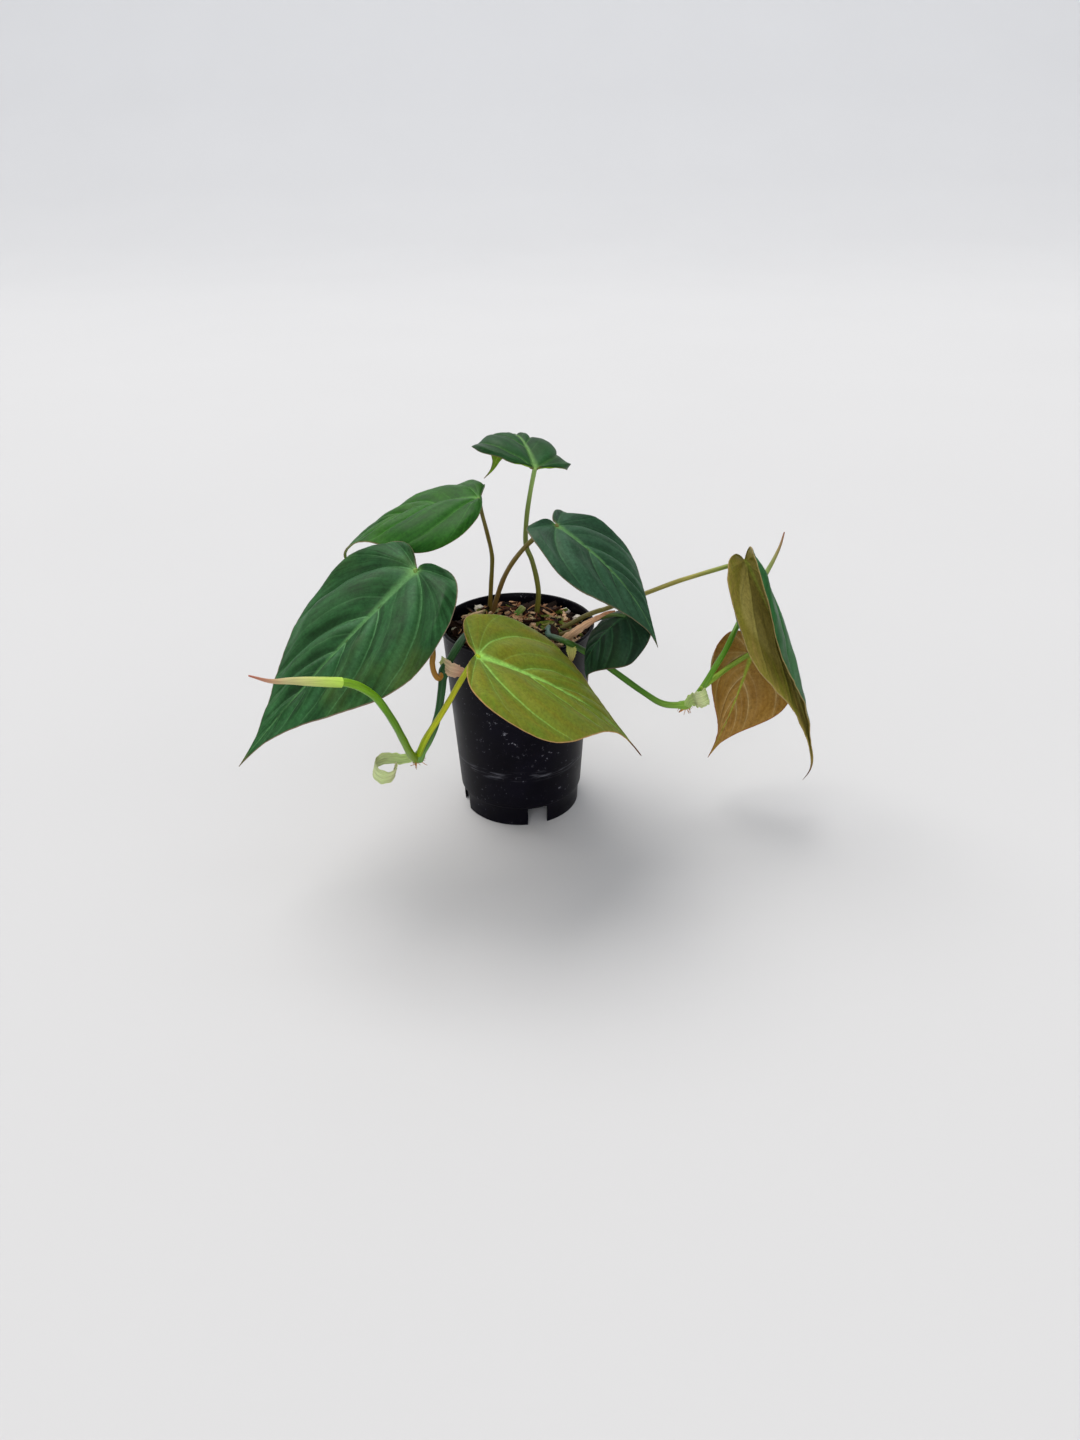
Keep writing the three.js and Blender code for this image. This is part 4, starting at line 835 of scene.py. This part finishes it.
def blade_material(name, look):
    """Velvet leaf skin above, smoother matt skin below.

    The upper skin's domed cells scatter light into a soft grey haze at a slant, which the sheen gives;
    patches are about 15 mm across and the fine mottling, too small to show, is drawn about 1 mm wide.
    Beside each vein a darker band of painted shade and a lighter band of painted highlight stand in for
    the light and shade on the puffed tissue. The middle of the underside is paler, partly its own tone
    and partly painted light."""
    material, shader = new_material(name)
    read = {}
    for label in ("vein_away", "vein_power", "halo", "painted_shade", "painted_highlight", "rib_away", "hub", "margin", "along",
                  "underside"):
        read[label] = add_node(material, "ShaderNodeAttribute", attribute_name=label).outputs["Fac"]
    grain = add_node(material, "ShaderNodeAttribute", attribute_name="grain").outputs["Vector"]
    spot = add_node(material, "ShaderNodeTexCoord").outputs["Object"]
    streaks = add_node(material, "ShaderNodeMapping", {0: grain, 3: (5.0, 1.7, 1.0)})
    streaks = add_node(material, "ShaderNodeTexNoise", {"Vector": streaks.outputs[0], "Scale": 1.0, "Detail": 5, "Roughness": 0.55})
    patches = add_node(material, "ShaderNodeTexNoise", {"Vector": spot, "Scale": 66, "Detail": 3})
    mottle = add_node(material, "ShaderNodeTexNoise", {"Vector": spot, "Scale": 700, "Detail": 5, "Roughness": 0.7})
    patchy = add_node(material, "ShaderNodeMath", {0: streaks.outputs[0], 1: 0.6, 2: 0.0}, operation="MULTIPLY_ADD")
    patchy = add_node(material, "ShaderNodeMath", {0: patches.outputs[0], 1: 0.4, 2: patchy.outputs[0]}, operation="MULTIPLY_ADD")
    patchy = add_node(material, "ShaderNodeMapRange", {0: patchy.outputs[0], 1: 0.4, 2: 0.62})
    tissue = add_node(material, "ShaderNodeMix", {0: patchy.outputs[0], 6: linear(look["lamina"]), 7: linear(look["patch"])},
                      data_type="RGBA")
    wide = add_node(material, "ShaderNodeTexNoise", {"Vector": spot, "Scale": 34, "Detail": 2})
    wide = add_node(material, "ShaderNodeMapRange", {0: wide.outputs[0], 1: 0.5, 2: 0.68, 3: 0.0, 4: look.get("glow_share", 0.5)})
    tissue = add_node(material, "ShaderNodeMix", {0: wide.outputs[0], 6: tissue.outputs[2], 7: linear(look["glow"])}, data_type="RGBA")
    # Painted highlight: a lighter band on the side of each vein toward the tip, where the puffed tissue faces the
    # light.
    painted_highlight_and_underside_vein = add_node(material, "ShaderNodeMath", {0: read["painted_highlight"], 1: look.get("bloom_share", 0.45)}, operation="MULTIPLY")
    tissue = add_node(material, "ShaderNodeMix", {0: painted_highlight_and_underside_vein.outputs[0], 6: tissue.outputs[2], 7: linear(look["painted_highlight"])}, data_type="RGBA")
    # Painted shade: the darker band beside each vein, where the puff slopes away from the light.
    painted_shade_weight = add_node(material, "ShaderNodeMath", {0: read["painted_shade"], 1: look.get("crease_share", 0.6)}, operation="MULTIPLY")
    tissue = add_node(material, "ShaderNodeMix", {0: painted_shade_weight.outputs[0], 6: tissue.outputs[2], 7: linear(look["painted_shade"])}, data_type="RGBA")
    halo = add_node(material, "ShaderNodeMath", {0: read["halo"], 1: look["halo_share"]}, operation="MULTIPLY")
    tissue = add_node(material, "ShaderNodeMix", {0: halo.outputs[0], 6: tissue.outputs[2], 7: linear(look["halo"])}, data_type="RGBA")
    line = add_node(material, "ShaderNodeMapRange", {0: read["vein_away"], 1: 0.1, 2: 0.55, 3: 1.0, 4: 0.0},
                    interpolation_type="SMOOTHSTEP")
    line = add_node(material, "ShaderNodeMath", {0: line.outputs[0], 1: read["vein_power"]}, operation="MULTIPLY")
    pale = add_node(material, "ShaderNodeMath", {0: line.outputs[0], 1: look["vein_share"]}, operation="MULTIPLY")
    tissue = add_node(material, "ShaderNodeMix", {0: pale.outputs[0], 6: tissue.outputs[2], 7: linear(look["vein"])}, data_type="RGBA")
    tip = add_node(material, "ShaderNodeMapRange", {0: read["along"], 1: 0.35, 2: 0.95, 3: look["midrib_share"],
                                                      4: 0.45 * look["midrib_share"]})
    rib = add_node(material, "ShaderNodeMapRange", {0: read["rib_away"], 1: 0.2, 2: 1.5, 3: 1.0, 4: 0.0},
                   interpolation_type="SMOOTHSTEP")
    rib = add_node(material, "ShaderNodeMath", {0: rib.outputs[0], 1: tip.outputs[0]}, operation="MULTIPLY")
    tissue = add_node(material, "ShaderNodeMix", {0: rib.outputs[0], 6: tissue.outputs[2], 7: linear(look["midrib"])}, data_type="RGBA")
    bright = add_node(material, "ShaderNodeMath", {0: read["hub"], 1: 0.85}, operation="MULTIPLY")
    tissue = add_node(material, "ShaderNodeMix", {0: bright.outputs[0], 6: tissue.outputs[2], 7: linear(look["hub"])}, data_type="RGBA")
    below = add_node(material, "ShaderNodeMix", {0: patchy.outputs[0], 6: linear(look["under"]), 7: linear(look["under_patch"])},
                     data_type="RGBA")
    # The middle of the underside, away from the margin, is paler: partly the underside's own paler tone, partly painted
    # light that lifts the shade inside the fold, strongest on the far right leaf.
    inner = add_node(material, "ShaderNodeMapRange", {0: read["margin"], 1: 15.0, 2: 20.0, 3: 0.0, 4: look.get("pale_middle_and_painted_fill_share", 0.3)})
    pale_middle_and_painted_fill_tone = linear(look.get("under_pale_middle_and_painted_fill", look["under_patch"]))
    below = add_node(material, "ShaderNodeMix", {0: inner.outputs[0], 6: below.outputs[2], 7: pale_middle_and_painted_fill_tone}, data_type="RGBA")
    painted_highlight_and_underside_vein = add_node(material, "ShaderNodeMath", {0: read["halo"], 1: 0.28, 2: 0.0}, operation="MULTIPLY_ADD")
    painted_highlight_and_underside_vein = add_node(material, "ShaderNodeMath", {0: line.outputs[0], 1: 0.5, 2: painted_highlight_and_underside_vein.outputs[0]}, operation="MULTIPLY_ADD", use_clamp=True)
    below = add_node(material, "ShaderNodeMix", {0: painted_highlight_and_underside_vein.outputs[0], 6: below.outputs[2], 7: linear(look["under_vein"])}, data_type="RGBA")
    below = add_node(material, "ShaderNodeMix", {0: rib.outputs[0], 6: below.outputs[2], 7: linear(look["under_midrib"])}, data_type="RGBA")
    face = add_node(material, "ShaderNodeMapRange", {0: read["underside"], 1: 0.5, 2: 0.75})
    skin = add_node(material, "ShaderNodeMix", {0: face.outputs[0], 6: tissue.outputs[2], 7: below.outputs[2]}, data_type="RGBA")
    rim = add_node(material, "ShaderNodeMapRange", {0: read["margin"], 1: 0.15, 2: 0.6, 3: 0.75, 4: 0.0})
    skin = add_node(material, "ShaderNodeMix", {0: rim.outputs[0], 6: skin.outputs[2], 7: linear(look["margin"])}, data_type="RGBA")
    dry_from = look.get("dry_from", 0.93)
    drip = add_node(material, "ShaderNodeMapRange", {0: read["along"], 1: dry_from, 2: dry_from + 0.06, 3: 0.0, 4: 0.9})
    skin = add_node(material, "ShaderNodeMix", {0: drip.outputs[0], 6: skin.outputs[2], 7: linear(look["drip"])}, data_type="RGBA")
    speckle = add_node(material, "ShaderNodeMapRange", {0: mottle.outputs[0], 1: 0.3, 2: 0.7, 3: 0.72, 4: 1.28})
    skin = add_node(material, "ShaderNodeVectorMath", {0: skin.outputs[2], "Scale": speckle.outputs[0]}, operation="SCALE")
    velvet = add_node(material, "ShaderNodeBump", {"Height": mottle.outputs[0], "Strength": 0.22, "Distance": 0.0004})
    satin = add_node(material, "ShaderNodeMapRange", {0: patches.outputs[0], 1: 0.3, 2: 0.7, 3: 0.42, 4: 0.58})
    shader.inputs["IOR"].default_value = 1.4
    shader.inputs["Specular IOR Level"].default_value = 0.16
    shader.inputs["Sheen Weight"].default_value = 0.02
    shader.inputs["Sheen Roughness"].default_value = 0.45
    shader.inputs["Sheen Tint"].default_value = linear("#c9e0d2")
    plug(material, shader, Base_Color=skin.outputs[0], Roughness=satin.outputs[0], Normal=velvet.outputs[0])
    return material


# Each leaf's own colours, plus a darker band colour beside the veins that is painted shade and a lighter band colour
# that is painted highlight.
BLADE_LOOKS = {
    "top": {
        "lamina": "#163a18", "patch": "#224a26", "glow": "#2c561e", "painted_shade": "#0f2a12", "painted_highlight": "#2c5a34", "halo": "#3a6a34", "halo_share": 0.3,
        "vein": "#5f8f4c", "vein_share": 0.4, "midrib": "#64904e", "midrib_share": 0.9, "hub": "#86aa5c", "margin": "#6b5d38",
        "drip": "#6f5a2c", "under": "#5f8a1c", "under_patch": "#7a9a26", "under_vein": "#a5bb4c", "under_midrib": "#a5bb4c",
    },
    "back_left": {
        "lamina": "#184811", "patch": "#2b601c", "glow": "#33660a", "painted_shade": "#143c0a", "painted_highlight": "#44743a", "halo": "#3f7a30", "halo_share": 0.3,
        "vein": "#5f9a48", "vein_share": 0.4, "midrib": "#5f9450", "midrib_share": 0.85, "hub": "#7fae5c", "margin": "#7d6a44",
        "drip": "#66602c", "under": "#56722c", "under_patch": "#6f8438", "under_vein": "#8a9c4c", "under_midrib": "#9db354",
    },
    "large_left": {
        "lamina": "#143816", "patch": "#2e5f33", "glow": "#4a5c20", "painted_shade": "#08200c", "painted_highlight": "#44764f", "halo": "#366638", "halo_share": 0.35,
        "vein": "#659a66", "vein_share": 0.6, "midrib": "#568850", "midrib_share": 0.85, "hub": "#76a85c", "margin": "#8c7464",
        "drip": "#5b5134", "under": "#6f6a45", "under_patch": "#85784f", "under_vein": "#98905c", "under_midrib": "#8fa35c",
    },
    "front": {
        "lamina": "#687c22", "patch": "#76741e", "glow": "#7e7a20", "painted_shade": "#56701a", "painted_highlight": "#82923c", "halo": "#6f9030", "halo_share": 0.6,
        "vein": "#8ebc5a", "vein_share": 0.85, "midrib": "#96cc60", "midrib_share": 1.0, "hub": "#a8e064", "margin": "#bf9060",
        "drip": "#52281a", "dry_from": 0.855, "under": "#9a6a44", "under_patch": "#a8754a", "under_vein": "#b59a5c",
        "under_midrib": "#a3b050",
    },
    "right_centre": {
        "lamina": "#1b3b25", "patch": "#2f513a", "glow": "#42624a", "painted_shade": "#0f2a18", "painted_highlight": "#426a50", "halo": "#34603c", "halo_share": 0.3,
        "vein": "#527f58", "vein_share": 0.4, "midrib": "#54824c", "midrib_share": 0.85, "hub": "#6a9850", "margin": "#6a6048",
        "drip": "#4f4a34", "under": "#6f6a45", "under_patch": "#85784f", "under_vein": "#98905c", "under_midrib": "#8fa35c",
    },
    "small_dark": {
        "lamina": "#10261a", "patch": "#1e3a24", "glow": "#2c4624", "painted_shade": "#08160c", "painted_highlight": "#264a34", "halo": "#18361c", "halo_share": 0.15,
        "vein": "#3c6a48", "vein_share": 0.35, "midrib": "#30603a", "midrib_share": 0.6, "hub": "#4a7a40", "margin": "#6b5a44",
        "drip": "#4f4a34", "under": "#5f5a3f", "under_patch": "#75684a", "under_vein": "#88805c", "under_midrib": "#7f935c",
    },
    "far_right": {
        "lamina": "#1a4c20", "patch": "#2a6230", "glow": "#2f6a34", "painted_shade": "#123a1a", "painted_highlight": "#326e3a", "halo": "#38783c", "halo_share": 0.3,
        "vein": "#5a9250", "vein_share": 0.3, "midrib": "#74a056", "midrib_share": 0.8, "hub": "#8ab060", "margin": "#a3885c",
        # Its underside's middle is lightened with painted light that lifts the shade inside its fold.
        "drip": "#5a3420", "dry_from": 0.88, "pale_middle_and_painted_fill_share": 0.9, "under_pale_middle_and_painted_fill": "#aea45c", "under": "#84822f", "under_patch": "#9c8a46", "under_vein": "#9c9850",
        "under_midrib": "#a0b84c",
    },
    "bronze": {
        "lamina": "#6f6a2f", "patch": "#8a6a36", "glow": "#8f7034", "painted_shade": "#5f5a28", "painted_highlight": "#8f7c40", "halo": "#8a8a40", "halo_share": 0.5,
        "vein": "#93a650", "vein_share": 0.5, "midrib": "#a0b850", "midrib_share": 0.9, "hub": "#a8c050", "margin": "#8a4f30",
        "drip": "#7a4526", "under": "#8a6424", "under_patch": "#a07c3c", "under_vein": "#c8b07c", "under_midrib": "#98b03c",
    },
}
for seed, (name, blade) in enumerate(BLADES.items()):
    halves = [blade_half(blade, side, 7.3 * seed) for side in (1, -1)]
    offset = len(halves[0][0])
    places = np.vstack([half[0] for half in halves])
    faces = halves[0][1] + [tuple(offset + i for i in reversed(face)) for face in halves[1][1]]
    values = {}
    for label in halves[0][2]:
        both = np.vstack([half[2][label] for half in halves])
        values[label] = both if both.shape[1] == 3 else both[:, 0]
    leaf = make_piece(f"blade_{name}", places, faces, values, 65)
    leaf.data.materials.append(blade_material(f"velvet_leaf_{name}", BLADE_LOOKS[name]))
    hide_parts(f"leaf_{name}")


# Leaf stalks. One slim petiole to each blade, grown from a node or out of the mix, a little flattened
# and broader at its base; its last few millimetres curve in under the notch of the blade.
STALKS = {
    "top": {
        "through": [(8.8, 17, 80), (8.9, 17, 89), (9.8, 17, 99), (9.1, 17, 107), (7, 17, 116.4), (4.4, 17, 124.2),
                    (4.9, 17.3, 135.9), (6.8, 17.7, 148.2)],
        "radii": [1.3, 1.2, 1.1, 1.0], "colours": ["#5c5a22", "#6f6d2a", "#6a7434", "#6a7a3c", "#88a85c"],
    },
    "back_left": {
        "through": [(-13.8, 24.5, 80), (-13.4, 24, 90), (-12.4, 21.5, 102.8), (-11.3, 18.5, 115.2), (-11.4, 17, 120.6),
                    (-12.3, 15.5, 126.9), (-13.5, 14, 133.5), (-14.9, 13, 140.4)],
        "radii": [1.15, 1.05, 0.95, 0.9], "colours": ["#7a6630", "#75652a", "#6a6428", "#6a5c26", "#6f6a3a"],
    },
    "large_left": {
        "through": [(-30.5, -41.6, 89.4), (-32.4, -45.4, 88), (-34, -46.8, 91.2), (-34.6, -46.4, 95.4),
                    (-34.2, -45, 100), (-35, -42, 110.9), (-37.3, -39, 122.9)],
        "radii": [1.2, 1.2, 1.15, 1.1], "colours": ["#a87a30", "#a87a30", "#8f7a30", "#7a8a3c", "#7a9a4c"],
    },
    "front": {
        "through": [(-42, -56, 57.3), (-37.9, -59, 67.1), (-31.2, -62.5, 79.2), (-27.1, -64.5, 86.8),
                    (-22.6, -66.5, 95.5), (-18.2, -67.5, 103.3)],
        "radii": [1.45, 1.3, 1.2, 1.15], "colours": ["#8cac10", "#aab61a", "#aeb218", "#a8ac1a", "#a8c02c"],
    },
    "right_centre": {
        "through": [(-10.6, 20, 80), (-11.4, 18.5, 90.6), (-7.7, 10.5, 105.9), (-3.7, 3.5, 117), (1.6, -3, 126.9),
                    (7.6, -9.5, 135.4), (12.9, -14.5, 140.9)],
        "radii": [1.25, 1.15, 1.05, 1.0], "colours": ["#8a6a45", "#7f6636", "#766230", "#6f632e", "#6a6a38"],
    },
    "small_dark": {
        "through": [(16.4, -2.8, 82), (17.9, -5, 87.8), (25.8, -11.5, 94.1), (34.2, -19, 102), (41, -26, 107.4)],
        "radii": [1.1, 1.05, 1.0, 0.95], "colours": ["#6b5f35", "#6b5f35", "#5f6a35", "#4f7040"],
    },
    "far_right": {
        "through": [(14, 3.5, 83), (18.6, 1, 88.2), (23.4, 0.5, 91.2), (27.4, 0.5, 93.4), (31.2, 0.5, 95.6),
                    (36.1, 1, 97.4), (41.8, 1.8, 98.9), (58.4, 2.3, 105.5), (71.1, 1.9, 110.7), (79.8, 1.4, 113.8),
                    (94.7, -0.5, 119.2)],
        "radii": [1.15, 1.1, 1.05, 1.0], "colours": ["#5f5a30", "#6e6834", "#7f7836", "#8f8a3e", "#7f9a46"],
    },
    "bronze": {
        "through": [(83, -16.8, 66.4), (91.6, -8.6, 68.8), (99.8, 0, 69.9)],
        "radii": [1.3, 1.2, 1.1], "colours": ["#86a83c", "#80a034", "#7f9f34", "#8aa840"],
    },
}
for name, stalk in STALKS.items():
    end = np.array(BLADES[name]["at"])
    path = [*stalk["through"], tuple(end)]
    places, faces, values = tube(path, stalk["radii"], 22, 130, ripples(0.03))
    petiole = make_piece(f"petiole_{name}_stalk", places, faces, values)
    petiole.data.materials.append(stem_material(f"petiole_skin_{name}", stalk["colours"], 0.4, 0.3))
    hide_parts(f"petiole_{name}")


# Bud sheaths. The left shoot ends in a long pointed sheath that still wraps the next leaf, two keels
# down its back; on the right the leaf itself has come out, rolled tight as a pencil.
def rolled(keels, seam):
    """Two low keels and one overlapping edge that runs down the roll."""
    def relief(u, a):
        spiral = (a + 1.4 * u) % (2 * math.pi)
        return ((1 - u) * keels * (np.exp(-((a - 1.2) / 0.22) ** 2) + np.exp(-((a - 2.4) / 0.22) ** 2))
                - seam * (1 - 0.7 * u) * np.exp(-((spiral - 4.2) / 0.16) ** 2))
    return relief


SPIKES = {
    "shoot_left_sheath": {
        "through": [(-61.6, -99.4, 114.3), (-69.4, -104, 117.1), (-77.5, -107.5, 119.3), (-83.9, -110, 120.6),
                    (-90.5, -112, 123.8)],
        "radii": [1.9, 1.85, 1.65, 1.2, 0.7, 0.3], "sleeve": 0.3,
        "colours": ["#aed450", "#b4cc60", "#c0c478", "#beb680", "#b4846a", "#a8604c"],
    },
    "shoot_right_rolled_leaf": {
        "through": [(107.6, 11.4, 96.4), (117, 26, 104.2), (121.6, 31, 110.1), (124.9, 35, 115.5), (127, 38.5, 120.7)],
        "radii": [1.35, 1.4, 1.15, 0.8, 0.32], "sleeve": 0.0,
        "colours": ["#6f9648", "#789850", "#7f9450", "#887e4c", "#8a5a44"],
    },
}
for name, spike in SPIKES.items():
    places, faces, values = tube(spike["through"], spike["radii"], 40, 120, rolled(0.16, 0.14), spike["sleeve"])
    bud = make_piece(f"{name}_bud", places, faces, values)
    bud.data.materials.append(stem_material(f"{name}_skin", spike["colours"], 0.5, 0.16))
    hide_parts(name)


# Old sheaths. The scale that wrapped each young leaf dries in place: papery, thin, lined along its
# length, pink-tan where it is dry and pale green where it is fresh, with its edges rolled.
def thin_strip(path, half_widths, rises, across, wrinkle, roll=0.0, cells=18, count=90, thick=0.4):
    """A thin curved strip with lines along it; roll turns its edges over."""
    middle, length = smooth_path(path, count)
    on, beside, out = directions(middle, across)
    u = np.linspace(0, 1, count)
    half = np.interp(u, np.linspace(0, 1, len(half_widths)), half_widths)
    rise = np.interp(u, np.linspace(0, 1, len(rises)), rises)
    k = np.linspace(-1, 1, cells + 1)
    ragged = 1 + 0.06 * np.sin(u * 37) + 0.05 * np.sin(u * 61 + 1)
    width = (half * ragged)[:, None] * k[None, :]
    lines = wrinkle * (np.sin(11 * k[None, :] + 3 * u[:, None]) + 0.5 * np.sin(23 * k[None, :] + 5 * u[:, None]))
    lines = lines + 0.6 * wrinkle * np.sin(26 * u[:, None] + 2 * k[None, :])
    height = rise[:, None] * k[None, :] ** 2 + lines + roll * np.clip(np.abs(k)[None, :] - 0.7, 0, 1) ** 2 * 8
    thin = thick / 2 * (1 - 0.5 * k[None, :] ** 4) * np.ones_like(width)
    base = middle[:, None] + beside[:, None] * width[..., None] + out[:, None] * height[..., None]
    upper = (base + out[:, None] * thin[..., None]).reshape(-1, 3)
    lower = (base - out[:, None] * thin[..., None]).reshape(-1, 3)
    columns = cells + 1
    size = count * columns
    faces = grid_faces(count, columns) + [tuple(size + i for i in reversed(f)) for f in grid_faces(count, columns)]
    loop = [r * columns for r in range(count)] + [(count - 1) * columns + c for c in range(1, columns)]
    loop += [r * columns + cells for r in range(count - 2, -1, -1)] + list(range(cells - 1, 0, -1))
    faces += [(a, b, b + size, a + size) for a, b in zip(loop, loop[1:] + loop[:1])]
    along = np.repeat(u, columns)
    grain = np.column_stack([np.tile(k, count) * 2.2, np.zeros(size), np.repeat(u * length / 10, columns)])
    return np.vstack([upper, lower]), faces, {"along": np.tile(along, 2), "grain": np.vstack([grain, grain])}


SHEATHS = {
    "sheath_right_long": {
        "path": [(18.4, -8.6, 84.6), (19.8, -10.6, 88), (23.9, -14.5, 92.9), (29, -19, 98.9), (33.7, -23.5, 104.1),
                 (38.3, -28, 108.9), (41.8, -30.6, 111)],
        "half_widths": [1.6, 1.85, 1.7, 1.4, 0.9, 0.4], "rises": [0.9, 0.8, 0.6, 0.3], "across": (0.5, -0.2, -0.8),
        "wrinkle": 0.07, "slot": "dry_sheath", "colours": ["#cfa880", "#e6bc96", "#e4b896", "#d8a684", "#bd8262"],
    },
    "sheath_left_upper": {
        "path": [(-31.5, -38.6, 93.6), (-28.6, -43.2, 92.2), (-25.4, -43.4, 90.4), (-21.8, -41.6, 88.8)],
        "half_widths": [1.5, 2.9, 3.1, 1.5], "rises": [0.5, 0.4, 0.2], "across": (0.3, 0.1, 1),
        "wrinkle": 0.1, "slot": "dry_sheath", "colours": ["#a9c070", "#d0bc98", "#cfae92", "#bd9276"],
    },
    "sheath_left_curl": {
        "path": [(-44.6, -55.2, 55.6), (-49, -53.4, 53.4), (-53.5, -52.6, 53.2), (-57.1, -53.3, 53.6),
                 (-60, -55.5, 53.5), (-60.9, -58.7, 52.5), (-59.4, -61.4, 51.1), (-56.4, -62.3, 49.9),
                 (-53.6, -61, 49.6), (-52.1, -58.4, 50.2), (-52.7, -55.8, 51.4)],
        "half_widths": [2.2, 3.6, 4.5, 4.8, 4.5, 3.8], "rises": [0.4, 0.2, 0], "across": (0.25, -0.35, 0.9),
        "wrinkle": 0.09, "slot": "fresh_sheath", "colours": ["#a3bf6c", "#b5c987", "#c5cf9c", "#b9c98a", "#c9c79a"],
    },
    "sheath_right_lobe": {
        "path": [(22.8, -28.9, 95.2), (23.5, -30.1, 93), (23.6, -31.1, 90.6), (23.5, -31.7, 88.4)],
        "half_widths": [1.6, 2.3, 1.6, 0.5], "rises": [0.7, 0.5, 0.2], "across": (1, 0.1, -0.1),
        "wrinkle": 0.08, "slot": "fresh_sheath", "colours": ["#8f9a4a", "#a3a457", "#97924f", "#8a7a45"],
    },
    "sheath_right_collar": {
        "path": [(76.8, -20, 58.8), (77.6, -20, 61.4), (79.2, -21.6, 63.4), (80, -24.2, 64.6), (82.2, -25.6, 65.8),
                 (84.4, -24.3, 66.4), (85, -21.9, 66), (83.6, -20, 65)],
        "half_widths": [1.4, 2.6, 3.6, 3.8, 3.6, 2.6], "rises": [0.3, 0.2, 0], "across": (-0.3, 0.25, 0.92),
        "wrinkle": 0.06, "slot": "fresh_sheath", "colours": ["#8fae5c", "#aabf78", "#c3cc96", "#b3c482", "#c9c99a"],
    },
}


def paper_material(name, stops):
    """Dried leaf scale: thin as paper, a dull sheen, brownish along its lines and at its edges."""
    material = stem_material(name, stops, 0.62, 0.3)
    shader = material.node_tree.nodes["Principled BSDF"]
    shader.inputs["Subsurface Weight"].default_value = 0.15
    shader.inputs["Subsurface Radius"].default_value = (0.001, 0.0008, 0.0004)
    shader.inputs["Subsurface Scale"].default_value = 1.0
    return material


for name, scale in SHEATHS.items():
    places, faces, values = thin_strip(scale["path"], scale["half_widths"], scale["rises"], scale["across"], scale["wrinkle"])
    sheath = make_piece(f"{name}_scale", places, faces, values, 60)
    sheath.data.materials.append(paper_material(f"{name}_paper", scale["colours"]))
    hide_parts(name)


# Studio. A pale seamless sweep, a broad soft key from the upper left, a weaker fill, and the camera
# a little above the plant at the height of a standing viewer.
sweep_profile = [(-2.6, 0), (2.4, 0), (2.9, 0.04), (3.4, 0.18), (3.8, 0.44), (4.1, 0.85), (4.25, 1.4), (4.25, 4.0)]
sweep_mesh = bpy.data.meshes.new("sweep")
sweep_points = [(side * 6, depth, height) for depth, height in sweep_profile for side in (-1, 1)]
sweep_mesh.from_pydata(sweep_points, [], [(2 * i, 2 * i + 1, 2 * i + 3, 2 * i + 2) for i in range(len(sweep_profile) - 1)])
sweep_mesh.shade_smooth()
sweep = bpy.data.objects.new("sweep", sweep_mesh)
bpy.context.scene.collection.objects.link(sweep)
backdrop, shader = new_material("matt_backdrop_paper")
spot = add_node(backdrop, "ShaderNodeTexCoord").outputs["Object"]
tooth = add_node(backdrop, "ShaderNodeTexNoise", {"Vector": spot, "Scale": 3, "Detail": 2})
paper = add_node(backdrop, "ShaderNodeMix", {0: tooth.outputs[0], 6: linear("#cbccce"), 7: linear("#cecfd1")}, data_type="RGBA")
shader.inputs["Roughness"].default_value = 0.95
plug(backdrop, shader, Base_Color=paper.outputs[2])
sweep_mesh.materials.append(backdrop)

world = bpy.data.worlds.new("studio_air")
world.use_nodes = True
world.node_tree.nodes["Background"].inputs[0].default_value = linear("#f0f2f5")
world.node_tree.nodes["Background"].inputs[1].default_value = 0.46
bpy.context.scene.world = world

LIGHTS = [("key", (-0.5, 0.45, 1.15), 2.3, 50, "#fffaf4"), ("fill", (-0.1, -1.2, 0.5), 1.0, 40, "#faf9fc"),
          ("side", (1.2, -0.6, 0.3), 0.45, 60, "#fbfaf8")]
for name, source, strength, spread, tint in LIGHTS:
    lamp = bpy.data.lights.new(name, "SUN")
    lamp.angle = math.radians(spread)
    lamp.energy = strength
    lamp.color = linear(tint)[:3]
    light = bpy.data.objects.new(name, lamp)
    light.rotation_euler = (-Vector(source)).to_track_quat("-Z", "Y").to_euler()
    bpy.context.scene.collection.objects.link(light)

wash = bpy.data.lights.new("wall_wash", "AREA")
wash.shape = "RECTANGLE"
wash.size = 7
wash.size_y = 1
wash.energy = 50
light = bpy.data.objects.new("wall_wash", wash)
light.location = (0, 2.1, 3.4)
light.rotation_euler = Vector((0, 2.1, -2.9)).to_track_quat("-Z", "Y").to_euler()
bpy.context.scene.collection.objects.link(light)

lens = bpy.data.cameras.new("camera")
lens.lens = 25.46
lens.sensor_width = 36
camera = bpy.data.objects.new("camera", lens)
view = Matrix.Rotation(math.radians(90 - 29.335), 4, "X") @ Matrix.Rotation(math.radians(-0.7725), 4, "Z")
camera.matrix_world = Matrix.Translation(Vector(to_row([9.72, -426.28, 281.37]))) @ view
bpy.context.scene.collection.objects.link(camera)
bpy.context.scene.camera = camera
bpy.context.scene.view_settings.view_transform = "Standard"
